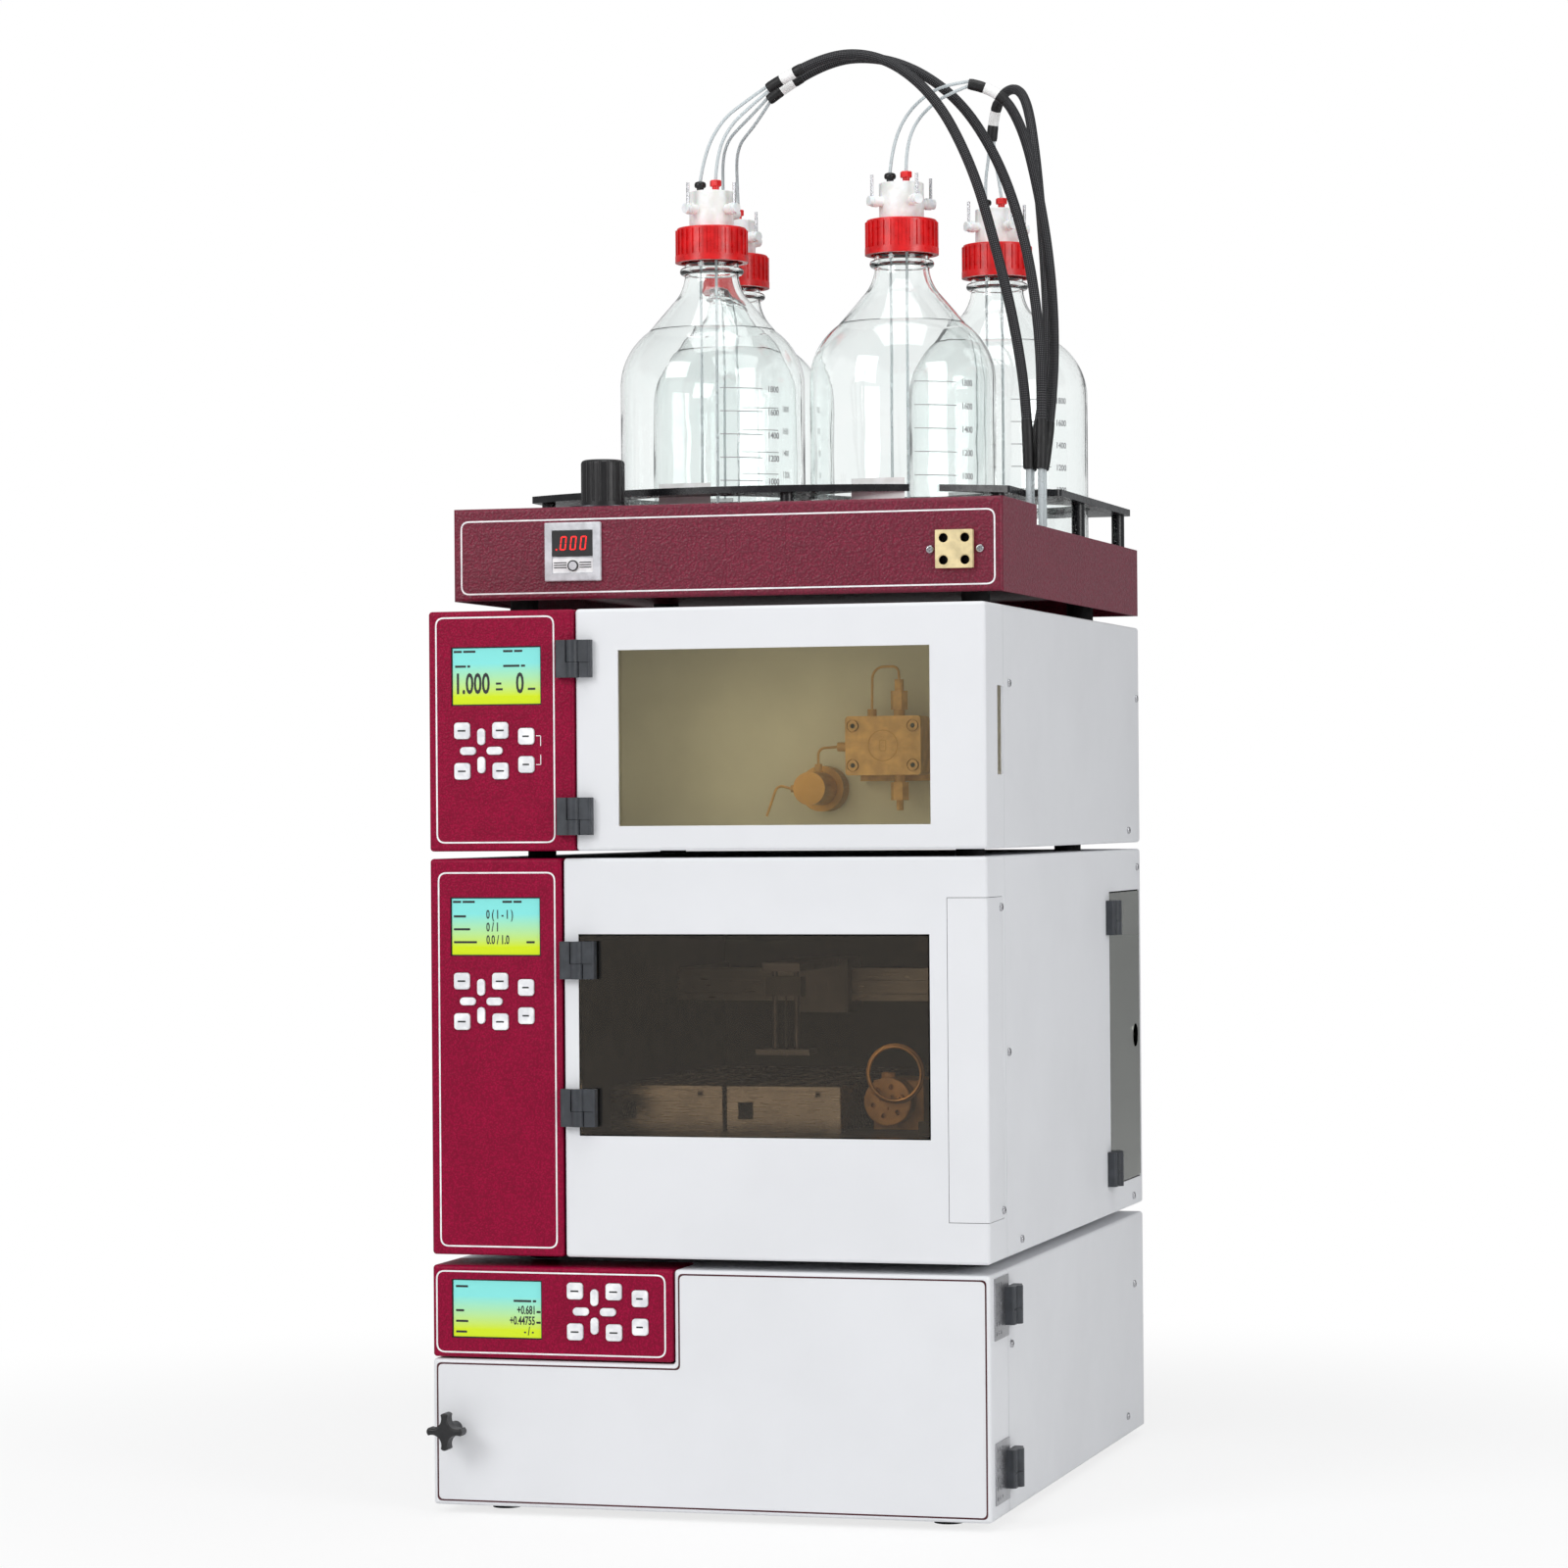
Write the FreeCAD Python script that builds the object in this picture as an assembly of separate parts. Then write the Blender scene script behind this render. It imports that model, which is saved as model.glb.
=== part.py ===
import FreeCAD, Part
import math
import os

os.makedirs("parts", exist_ok=True)

# An ion chromatograph: a stack of four bench modules, each on rubber feet. From the bottom up
# they are the detector and column module, the sampler, the pump and the eluent organiser, which
# carries four two-litre bottles. Sizes are in millimetres. X runs from the left side, Y from the
# front faces to the rear and Z up from the table, until a finished shape is moved to the origin.
V = FreeCAD.Vector
UP = V(0, 0, 1)
RIGHT = V(1, 0, 0)
BACK = V(0, 1, 0)

# Module bodies
width = 400.0
depth = 513.5
front_depth = 52.0
seam = 0.8
skin = 1.5
face = 2.0
edge_radius = 2.5
base_height = 167.0
sampler_height = 276.0
pump_height = 167.5
organiser_height = 65.5
organiser_setback = 53.0

# Rubber feet
base_foot = 6.0
sampler_foot = 7.3
pump_foot = 5.1
organiser_foot = 9.2
foot_radius = 10.0
base_foot_inset = 40.0
stack_foot_x = (58.5, width - 29.0)
stack_foot_y = (72.0, depth - 129.5)
organiser_foot_x = (40.0, width - 28.0)
organiser_foot_y = (90.0, depth - 83.5)

base_z = base_foot
sampler_z = base_z + base_height + sampler_foot
pump_z = sampler_z + sampler_height + pump_foot
organiser_z = pump_z + pump_height + organiser_foot

# Control panels, displays and keys
pump_panel_width = 107.0
sampler_panel_width = 97.0
base_panel_width = 175.5
base_panel_height = 64.0
panel_gap = 1.2
lcd_width = 66.4
lcd_height = 41.0
lcd_frame = 4.0
lcd_thickness = 6.0
key_side = 11.5
key_corner = 2.4
oval_width = 5.5
key_proud = 1.8
key_gap = 0.3
key_pitch = 14.1
oval_pitch = 9.8
side_key_offset = 33.1
side_key_pitch = 9.8
mat_thickness = 1.6
mat_margin = 4.0

# Block hinges
hinge_height = 26.0
hinge_lower = 10.5
hinge_gap = 0.3
knuckle_radius = 4.6
knuckle_lift = 0.3
leaf_reach = 12.8
leaf_thickness = 6.5
hinge_pin_radius = 1.5
pin_clearance = 0.05
plate_thickness = 1.0
plate_length = 40.0
plate_height = 42.0
plate_hole_radius = 1.5
plate_hole_pitch = 6.6

# Doors and panes
pane = 4.0
pane_gap = 1.0
pump_window = (139.0, width - 39.0, 17.0, 138.5)
pump_pane_lap = 6.0
sampler_window = (109.0, width - 40.5, 84.0, 223.5)
side_window = (depth - 116.5, depth - 4.0, 21.0, 244.5)
finger_hole_radius = 9.0
finger_slot = (33.5, 50.0, 50.5, 111.5)
cover_front = width - 28.0
cover_side = 43.0
cover_z = (28.5, 248.0)
cover_gap = 0.4

# Interior walls
pump_bulkhead_y = 100.0
sampler_bulkhead_y = depth - 128.5
base_bulkhead_y = 260.0
shelf_height = 85.0

# Pump
head_x = (285.0, 339.0)
head_z = (51.0, 92.0)
head_front = 62.0
fitting_y = 76.0
valve_x = 320.4
head_line_x = 300.8
damper_x = 261.4
damper_z = 42.0
damper_radius = 11.5
damper_base_radius = 16.0
damper_front = 52.0
damper_step = 84.0
capillary_radius = 0.9
nut_radius = 3.2

# Sampler interior
rack_x = (112.0, 197.5)
rack_width = 82.0
rack_depth = 248.0
rack_height = 32.0
rack_front = 62.0
rack_sheet = 1.2
vial_radius = 6.1
vial_pitch = 16.0
valve_face_y = 90.0
valve_centre = (306.0, 104.0)
valve_radius = 17.0
loop_centre = (314.5, 124.3)
loop_radius = 20.0
loop_tube_radius = 1.2
loop_step = 1.8
valve_port_ring = 10.5
rail_y = 262.0
rail_depth = 18.0
rail_bottom = 167.0
rail_height = 24.0
carriage_width = 40.0
arm_length = 108.0
bracket_thickness = 3.0
guide_radius = 2.0
running_gap = 0.5

# Detector and column module interior
oven_x = (60.0, 250.0)
oven_z = (14.0, 84.0)
oven_y = (150.0, 258.0)
column_radius = 6.0
column_length = 150.0
detector_x = (275.0, 345.0)
detector_depth = 60.0
detector_height = 62.0

# Organiser
deck_depth = depth - 406.5
side_step = 14.0
tray_floor = 15.0
rack_thickness = 5.0
rack_over_deck = 12.5
post_radius = 5.0
bottle_gap = 1.5
regulator_x = 96.6
regulator_y = organiser_setback + deck_depth / 2 - 6.5
knob_radius = 15.7
knob_height = 33.0
flange_radius = 25.0
flange_thickness = 2.4
shaft_radius = 3.0
gauge_x = 89.8
gauge_z = 33.6
gauge_side = 41.5
gauge_proud = 3.0
gauge_neck = 36.0
manifold_x = 366.5
manifold_z = 29.4
manifold_side = 26.5
manifold_proud = 4.0
port_pitch = 15.3
port_radius = 3.2
port_depth = 12.0
manifold_screw_offset = 17.7
socket_radius = 4.5
socket_bore = 2.3
socket_height = 10.0

# Bottles, screw caps and distribution heads
bottle_radius = 68.0
bottle_height = 260.0
glass = 2.4
rack_centre_x = width / 2 + 12.0
front_bottle_span = bottle_radius + 4.5
back_bottle_span = width / 2 - bottle_radius - 27.5
front_bottle_y = depth - 282.5
back_bottle_y = depth - 115.5
neck_height = 31.0
shoulder_drop = 110.0
neck_z = bottle_height - neck_height
shoulder_z = bottle_height - shoulder_drop
neck_radius = 20.0
thread_radius = 22.4
cap_radius = 27.0
cap_height = 25.5
cap_wall = 3.6
cap_ribs = 30
cap_flange = 5.0
cap_above_rim = 5.5
head_radius = 16.4
head_rise = 27.0
head_seat_radius = 21.0
head_plug_radius = 14.5
stub_radius = 3.6
stub_reach = 27.0
pin_radius = 1.1
pin_length = 20.0
tube_nut_radius = 3.4
tube_nut_height = 8.0
nut_ring = 8.2
tube_radius = 1.2
dip_clearance = 45.0
dip_depth = bottle_height - dip_clearance

# Star knob on the detector module's door
star_x = 16.5
star_z = 53.7
star_radius = 13.0
star_waist = 6.0
star_thickness = 11.0
star_reach = 25.0
stud_radius = 3.0

# Mains inlets
inlet_width = 48.0
inlet_height = 28.0
inlet_proud = 2.0
inlet_depth = 22.0

# Screws
screw_radius = 1.5
screw_head_radius = 2.8
screw_head_height = 1.8
screw_length = 6.0
screw_gap = 0.1

# The origin stands at the middle of the box that holds the object, on the table
hinge_reach = plate_thickness + knuckle_lift + 2 * knuckle_radius
origin = V((width + hinge_reach - screw_head_height) / 2, (depth + inlet_proud - star_reach) / 2, 0)


def save(name, shape):
    """Write one sub-part, moved so that the object's origin is at zero."""
    placed = shape.copy()
    placed.translate(origin * -1)
    placed.exportStep("parts/" + name + ".step")


def box(x0, x1, y0, y1, z0, z1):
    return Part.makeBox(x1 - x0, y1 - y0, z1 - z0, V(x0, y0, z0))


def rod(radius, length, start, direction):
    return Part.makeCylinder(radius, length, start, direction)


def joined(shapes):
    whole = shapes[0]
    if len(shapes) > 1:
        whole = whole.fuse(shapes[1:])
    return whole.removeSplitter()


def group(shapes):
    return Part.makeCompound(shapes)


def edges_on(shape, chosen):
    """Edges of a shape for which the test holds at both ends."""
    return [e for e in shape.Edges if all(chosen(v.Point) for v in e.Vertexes)]


def edges_along(shape, direction):
    found = []
    for e in shape.Edges:
        if len(e.Vertexes) == 2:
            line = e.Vertexes[1].Point - e.Vertexes[0].Point
            if line.cross(direction).Length < 1e-6 * line.Length:
                found.append(e)
    return found


def rounded_along(shape, direction, radius):
    return shape.makeFillet(radius, edges_along(shape, direction))


def soft_block(x0, x1, y0, y1, z0, z1, radius):
    """A box with its front edges and its edges along Y rounded."""
    solid = box(x0, x1, y0, y1, z0, z1)
    front = edges_on(solid, lambda p: abs(p.y - y0) < 1e-6)
    return solid.makeFillet(radius, front + edges_along(solid, BACK))


def front_pan(x0, x1, y1, z0, z1):
    """A folded front cover that is open at the rear."""
    outer = soft_block(x0, x1, 0, y1, z0, z1, edge_radius)
    return outer.cut(box(x0 + skin, x1 - skin, face, y1 + skin, z0 + skin, z1 - skin))


def rear_shell(z0, z1):
    """A module's folded case behind its front section, with a rear wall."""
    solid = box(0, width, front_depth, depth, z0, z1)
    outer = rounded_along(solid, BACK, edge_radius)
    hollow = box(skin, width - skin, front_depth - skin, depth - skin, z0 + skin, z1 - skin)
    return outer.cut(hollow)


def vent_slots(z_mid):
    """Slots for the air of a module's rear wall."""
    slot_count = 9
    slot_pitch = 14.0
    slot_width = 4.0
    slot_height = 50.0
    first = width * 0.62
    cuts = []
    for i in range(slot_count):
        x = first + i * slot_pitch
        z0 = z_mid - slot_height / 2
        cut = box(x, x + slot_width, depth - 2 * skin, depth + skin, z0, z0 + slot_height)
        cuts.append(rounded_along(cut, BACK, slot_width / 2 - 0.1))
    return cuts


def inlet_opening(z_mid):
    x_mid = width * 0.25
    half_w = inlet_width / 2 - 4.0
    half_h = inlet_height / 2 - 2.0
    y0 = depth - 2 * skin
    return box(x_mid - half_w, x_mid + half_w, y0, depth + skin, z_mid - half_h, z_mid + half_h)


def mains_inlet(z_mid):
    """A panel inlet with three flat contacts."""
    x_mid = width * 0.25
    half_w = inlet_width / 2
    half_h = inlet_height / 2
    flange = box(x_mid - half_w, x_mid + half_w, depth, depth + inlet_proud, z_mid - half_h, z_mid + half_h)
    flange = rounded_along(flange, BACK, 3.0)
    body_w = half_w - 4.0 - screw_gap
    body_h = half_h - 2.0 - screw_gap
    body = box(x_mid - body_w, x_mid + body_w, depth - inlet_depth, depth, z_mid - body_h, z_mid + body_h)
    well = box(x_mid - 12.0, x_mid + 12.0, depth - 17.0, depth + inlet_proud, z_mid - 8.0, z_mid + 8.0)
    inlet = joined([flange, body]).cut(rounded_along(well, BACK, 3.0))
    blades = []
    for dx, dz in ((-7.0, -2.0), (0.0, 2.0), (7.0, -2.0)):
        x = x_mid + dx
        z = z_mid + dz
        blades.append(box(x - 1.0, x + 1.0, depth - 18.0, depth - 3.0, z - 2.0, z + 2.0))
    return joined([inlet] + blades)


# Screws on the sides: distance from the front and height within the module
side_screws = {
    "base": ((60.0, 115.0), (depth - 35.5, 114.0), (depth - 63.5, 15.0)),
    "sampler": ((59.0, 141.0), (94.0, 9.5), (depth - 35.5, 8.0), (depth - 13.5, 262.0)),
    "pump": ((67.0, 113.5), (depth - 10.5, 112.0), (depth - 44.5, 9.5)),
}
module_floor = {"base": base_z, "sampler": sampler_z, "pump": pump_z}
cover_screws = ((38.0, 241.0), (39.5, 34.0))


def screw_holes(module):
    holes = []
    for y, z in side_screws[module]:
        for x in (-skin, width - 2 * skin):
            start = V(x, y, module_floor[module] + z)
            holes.append(rod(screw_radius + screw_gap, 3 * skin, start, RIGHT))
    return holes


def screw(head_seat, outward):
    """A pan-head screw with a cross recess, its head seated at a point and facing outward."""
    head = rod(screw_head_radius, screw_head_height, V(0, 0, 0), UP)
    head = head.makeFillet(1.0, edges_on(head, lambda p: p.z > screw_head_height - 0.01))
    shank = rod(screw_radius, screw_length, V(0, 0, -screw_length), UP)
    solid = joined([head, shank])
    slot = 0.4
    for a, b in ((1.7, slot), (slot, 1.7)):
        solid = solid.cut(box(-a, a, -b, b, screw_head_height - 0.9, screw_head_height + 1.0))
    solid.Placement = FreeCAD.Placement(head_seat, FreeCAD.Rotation(UP, outward))
    return solid


def all_case_screws():
    screws = []
    for module, places in side_screws.items():
        for y, z in places:
            height = module_floor[module] + z
            screws.append(screw(V(width, y, height), RIGHT))
            screws.append(screw(V(0, y, height), RIGHT * -1))
    for y, z in cover_screws:
        screws.append(screw(V(width, y, sampler_z + z), RIGHT))
    for side in (-1, 1):
        x = manifold_x + side * manifold_screw_offset
        screws.append(screw(V(x, organiser_setback, organiser_z + manifold_z), BACK * -1))
    return group(screws)


# Hinges are built with the hinge line on local Z, the mounting surface behind at +Y and the moving
# leaf towards +X, then turned and set in place.
knuckle_height = knuckle_radius + knuckle_lift


def leaf_box(x0, x1, z0, z1):
    block = box(x0, x1, knuckle_height - leaf_thickness, knuckle_height, z0, z1)
    outer = max(x0, x1, key=abs)
    corner = edges_on(block, lambda p: abs(p.x - outer) < 1e-6 and p.y < 0)
    return block.makeFillet(2.0, corner)


def fixed_leaf():
    inner = knuckle_radius + 0.4
    lower = leaf_box(-leaf_reach, 0, 0, hinge_lower)
    upper = leaf_box(-leaf_reach, -inner, 0, hinge_height)
    knuckle = rod(knuckle_radius, hinge_lower, V(0, 0, 0), UP)
    pin = rod(hinge_pin_radius, hinge_height - 1.0, V(0, 0, 0), UP)
    return joined([lower, upper, knuckle, pin])


def moving_leaf():
    """The moving half, with a shallow line where its knuckle ends."""
    inner = knuckle_radius + 0.4
    low = hinge_lower + hinge_gap
    upper = leaf_box(0, leaf_reach, low, hinge_height)
    outer = leaf_box(inner, leaf_reach, 0, hinge_height)
    knuckle = rod(knuckle_radius, hinge_height - low, V(0, 0, low), UP)
    solid = joined([upper, outer, knuckle])
    line = box(inner - 1.0, leaf_reach + 1.0, knuckle_height - leaf_thickness - 1.0, -1.0, low - 0.7, low)
    bore = rod(hinge_pin_radius + pin_clearance, hinge_height, V(0, 0, -0.1), UP)
    return solid.cut([line, bore])


def mirrored(shape):
    return shape.mirror(V(0, 0, 0), RIGHT)


def hinge_pair(centre, turn, flip):
    """Both halves of a hinge whose hinge line stands at a point, mid-height."""
    halves = []
    for half in (fixed_leaf(), moving_leaf()):
        if flip:
            half = mirrored(half)
        half.rotate(V(0, 0, 0), UP, turn)
        half.translate(V(centre.x, centre.y, centre.z - hinge_height / 2))
        halves.append(half)
    return halves


pump_hinge_x = pump_panel_width + panel_gap - 0.2
pump_hinge_z = (133.0, 24.0)
sampler_hinge_x = sampler_window[0] + pane_gap / 2
sampler_hinge_z = (205.5, 103.5)
side_hinge_y = side_window[0] + pane_gap / 2
side_hinge_z = (225.0, 35.0)
base_hinge_z = (143.0, 31.5)


def hinge_sets():
    """The four doors' hinges, by door: a list of fixed and moving halves."""
    sets = {"pump": [], "sampler": [], "side": [], "base": []}
    for z in pump_hinge_z:
        sets["pump"].append(hinge_pair(V(pump_hinge_x, -knuckle_height, pump_z + z), 0, False))
    for z in sampler_hinge_z:
        sets["sampler"].append(hinge_pair(V(sampler_hinge_x, -knuckle_height, sampler_z + z), 0, False))
    for z in side_hinge_z:
        sets["side"].append(hinge_pair(V(width + knuckle_height, side_hinge_y, sampler_z + z), 90, False))
    for z in base_hinge_z:
        centre = V(width + plate_thickness + knuckle_height, front_depth, base_z + z)
        sets["base"].append(hinge_pair(centre, 90, True))
    return sets


def hinge_plate(z_mid):
    """A perforated steel plate under a hinge half on the detector module's door."""
    y1 = front_depth - seam - 1.0
    y0 = y1 - plate_length
    z0 = z_mid - plate_height / 2
    plate = box(width, width + plate_thickness, y0, y1, z0, z0 + plate_height)
    holes = []
    for row in range(6):
        for column in range(3):
            y = y0 + 4.0 + column * plate_hole_pitch
            z = z0 + 4.5 + row * plate_hole_pitch
            holes.append(rod(plate_hole_radius, 3 * plate_thickness, V(width - 1.0, y, z), RIGHT))
    return plate.cut(holes)


def case_hinge_pad(z_mid):
    """A spacer under the fixed hinge half, level with the door's plate."""
    y0 = front_depth + 0.5
    half = hinge_height / 2
    return box(width, width + plate_thickness, y0, front_depth + leaf_reach, z_mid - half, z_mid + half)


# Keys: the centre of each key from the middle of the pad, with its width and height
def key_places():
    places = []
    for sx in (-1, 1):
        for sz in (-1, 1):
            places.append((sx * key_pitch, sz * key_pitch, key_side, key_side, key_corner))
    for sz in (-1, 1):
        places.append((side_key_offset, sz * side_key_pitch, key_side, key_side, key_corner))
    oval_corner = oval_width / 2 - 0.05
    for s in (-1, 1):
        places.append((0.0, s * oval_pitch, oval_width, key_side, oval_corner))
        places.append((s * oval_pitch, 0.0, key_side, oval_width, oval_corner))
    return places


def key_prism(place, centre, y0, y1, grow):
    dx, dz, w, h, corner = place
    x = centre[0] + dx
    z = centre[1] + dz
    block = box(x - w / 2 - grow, x + w / 2 + grow, y0, y1, z - h / 2 - grow, z + h / 2 + grow)
    return rounded_along(block, BACK, corner + grow)


def key_holes(centre):
    return [key_prism(p, centre, -1.0, face + 1.0, key_gap) for p in key_places()]


def keypad(centre):
    """One moulded key mat: ten keys on a backing that lies behind the panel."""
    half = key_pitch + key_side / 2 + mat_margin
    right = side_key_offset + key_side / 2 + mat_margin
    x, z = centre
    mat = box(x - half, x + right, face, face + mat_thickness, z - half, z + half)
    keys = []
    for place in key_places():
        key = key_prism(place, centre, -key_proud, face, 0)
        front = [e for e in key.Edges if e.CenterOfMass.y < -key_proud + 0.01]
        keys.append(key.makeFillet(0.7, front))
    return joined([mat] + keys)


def lcd_opening(centre):
    x, z = centre
    half_w = lcd_width / 2
    half_h = lcd_height / 2
    return box(x - half_w, x + half_w, -1.0, face + 1.0, z - half_h, z + half_h)


def display(centre):
    x, z = centre
    half_w = lcd_width / 2 + lcd_frame
    half_h = lcd_height / 2 + lcd_frame
    return box(x - half_w, x + half_w, face, face + lcd_thickness, z - half_h, z + half_h)


lcd_places = {
    "pump": (50.0, pump_z + 122.0),
    "sampler": (48.2, sampler_z + 228.7),
    "base": (47.3, base_z + 137.0),
}
key_centres = {
    "pump": (39.1, pump_z + 70.0),
    "sampler": (37.7, sampler_z + 176.7),
    "base": (119.0, base_z + 136.8),
}


def control_panel(module, panel_width, z0, z1):
    pan = front_pan(0, panel_width, front_depth - seam, z0, z1)
    return pan.cut([lcd_opening(lcd_places[module])] + key_holes(key_centres[module]))


# Detector and column module
base_top = base_z + base_height
base_panel_z = base_top - base_panel_height
door_step_x = base_panel_width + panel_gap
door_step_z = base_panel_z - panel_gap


def base_case():
    shell = rear_shell(base_z, base_top)
    inner = width - skin
    bulkhead = box(skin, inner, base_bulkhead_y, base_bulkhead_y + skin, base_z + skin, base_top - skin)
    shelf_z = base_panel_z - skin
    shelf = box(skin, base_panel_width, front_depth, base_bulkhead_y, shelf_z, base_panel_z)
    post_x = base_panel_width - skin
    post = box(post_x, base_panel_width, front_depth, base_bulkhead_y, shelf_z, base_top - skin)
    pads = [case_hinge_pad(base_z + z) for z in base_hinge_z]
    strike_z = base_z + star_z
    half = 12.0
    strike = box(skin, star_x + 8.0, front_depth, front_depth + skin, strike_z - half, strike_z + half)
    case = joined([shell, bulkhead, shelf, post, strike] + pads)
    stud_hole = rod(stud_radius + 0.6, 4 * skin, V(star_x, front_depth - skin, strike_z), BACK)
    mid = base_z + base_height / 2
    return case.cut([stud_hole, inlet_opening(mid)] + vent_slots(mid) + screw_holes("base"))


def ell_prism(inset, y0, y1):
    """The stepped outline of the detector module's door, drawn in from its edge by an inset."""
    x_step = door_step_x + inset
    z_step = door_step_z - inset
    points = [
        V(inset, y0, base_z + inset),
        V(width - inset, y0, base_z + inset),
        V(width - inset, y0, base_top - inset),
        V(x_step, y0, base_top - inset),
        V(x_step, y0, z_step),
        V(inset, y0, z_step),
    ]
    return Part.Face(Part.makePolygon(points + points[:1])).extrude(V(0, y1 - y0, 0))


def base_door():
    rear = front_depth - seam
    outer = ell_prism(0, 0, rear)
    front = edges_on(outer, lambda p: abs(p.y) < 1e-6)
    outer = outer.makeFillet(edge_radius, front + edges_along(outer, BACK))
    hole = rod(stud_radius + screw_gap, 4 * face, V(star_x, -face, base_z + star_z), BACK)
    return outer.cut([ell_prism(skin, face, rear + skin), hole])


def star_knob():
    """A four-lobed knob on a stud that ends just short of the strike plate."""
    centre = V(star_x, 0, base_z + star_z)
    shoulder = star_radius - 1.1
    points = []
    for i in range(4):
        tip = math.radians(90 * i)
        for off in (-1, 1):
            a = tip + off * math.radians(13)
            points.append(V(shoulder * math.cos(a), 0, shoulder * math.sin(a)))
        a = tip + math.radians(45)
        points.append(V(star_waist * math.cos(a), 0, star_waist * math.sin(a)))
    wires = []
    count = len(points)
    for i in range(4):
        start = points[3 * i]
        end = points[3 * i + 1]
        a = math.radians(90 * i)
        crown = V(star_radius * math.cos(a), 0, star_radius * math.sin(a))
        wires.append(Part.Arc(start, crown, end).toShape())
        after = points[(3 * i + 3) % count]
        wires.append(Part.Arc(end, points[3 * i + 2], after).toShape())
    star = Part.Face(Part.Wire(wires)).extrude(V(0, star_thickness, 0))
    star = star.makeFillet(1.6, [e for e in star.Edges if abs(e.CenterOfMass.y) < 1e-6])
    star.translate(V(centre.x, -star_reach, centre.z))
    neck_start = star_thickness - star_reach
    neck = rod(5.0, -neck_start - 0.3, V(centre.x, neck_start, centre.z), BACK)
    stud_length = front_depth - 1.0
    stud = rod(stud_radius, stud_length - neck_start, V(centre.x, neck_start, centre.z), BACK)
    return joined([star, neck, stud])


def column_oven():
    """The heated block with a groove that holds the column."""
    x0, x1 = oven_x
    y0, y1 = oven_y
    z0 = base_z + oven_z[0]
    z1 = base_z + oven_z[1]
    block = box(x0, x1, y0, y1, z0, z1)
    foot = box(x0 + 20.0, x1 - 20.0, y0 + 10.0, base_bulkhead_y, base_z + skin, z0)
    axis_y = y0 + column_radius
    axis_z = (z0 + z1) / 2
    groove = box(x0 - 1.0, x1 + 1.0, y0 - 1.0, axis_y, axis_z - column_radius, axis_z + column_radius)
    bed = rod(column_radius, x1 - x0 + 2.0, V(x0 - 1.0, axis_y, axis_z), RIGHT)
    return joined([block, foot]).cut([groove, bed])


def separation_column():
    """The column with an end fitting and a tube nut at each end."""
    axis_y = oven_y[0] + column_radius
    axis_z = base_z + (oven_z[0] + oven_z[1]) / 2
    middle = (oven_x[0] + oven_x[1]) / 2
    x0 = middle - column_length / 2
    gap = 0.3
    barrel = rod(column_radius - gap, column_length, V(x0, axis_y, axis_z - 0.3 + gap), RIGHT)
    ends = []
    for x, way in ((x0, -1), (x0 + column_length, 1)):
        nut = rod(nut_radius, 12.0, V(x, axis_y, axis_z), RIGHT * way)
        ends.append(nut)
    return joined([barrel] + ends)


def detector_cell():
    """The conductivity cell in its block, with two fluid ports."""
    y1 = base_bulkhead_y
    y0 = y1 - detector_depth
    z0 = base_z + skin
    block = box(detector_x[0], detector_x[1], y0, y1, z0, z0 + detector_height)
    block = rounded_along(block, UP, 3.0)
    middle = (detector_x[0] + detector_x[1]) / 2
    ports = [rod(nut_radius, 12.0, V(middle + dx, y0, z0 + 40.0), BACK * -1) for dx in (-16.0, 16.0)]
    return joined([block] + ports)


# Sampler
sampler_top = sampler_z + sampler_height


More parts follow.
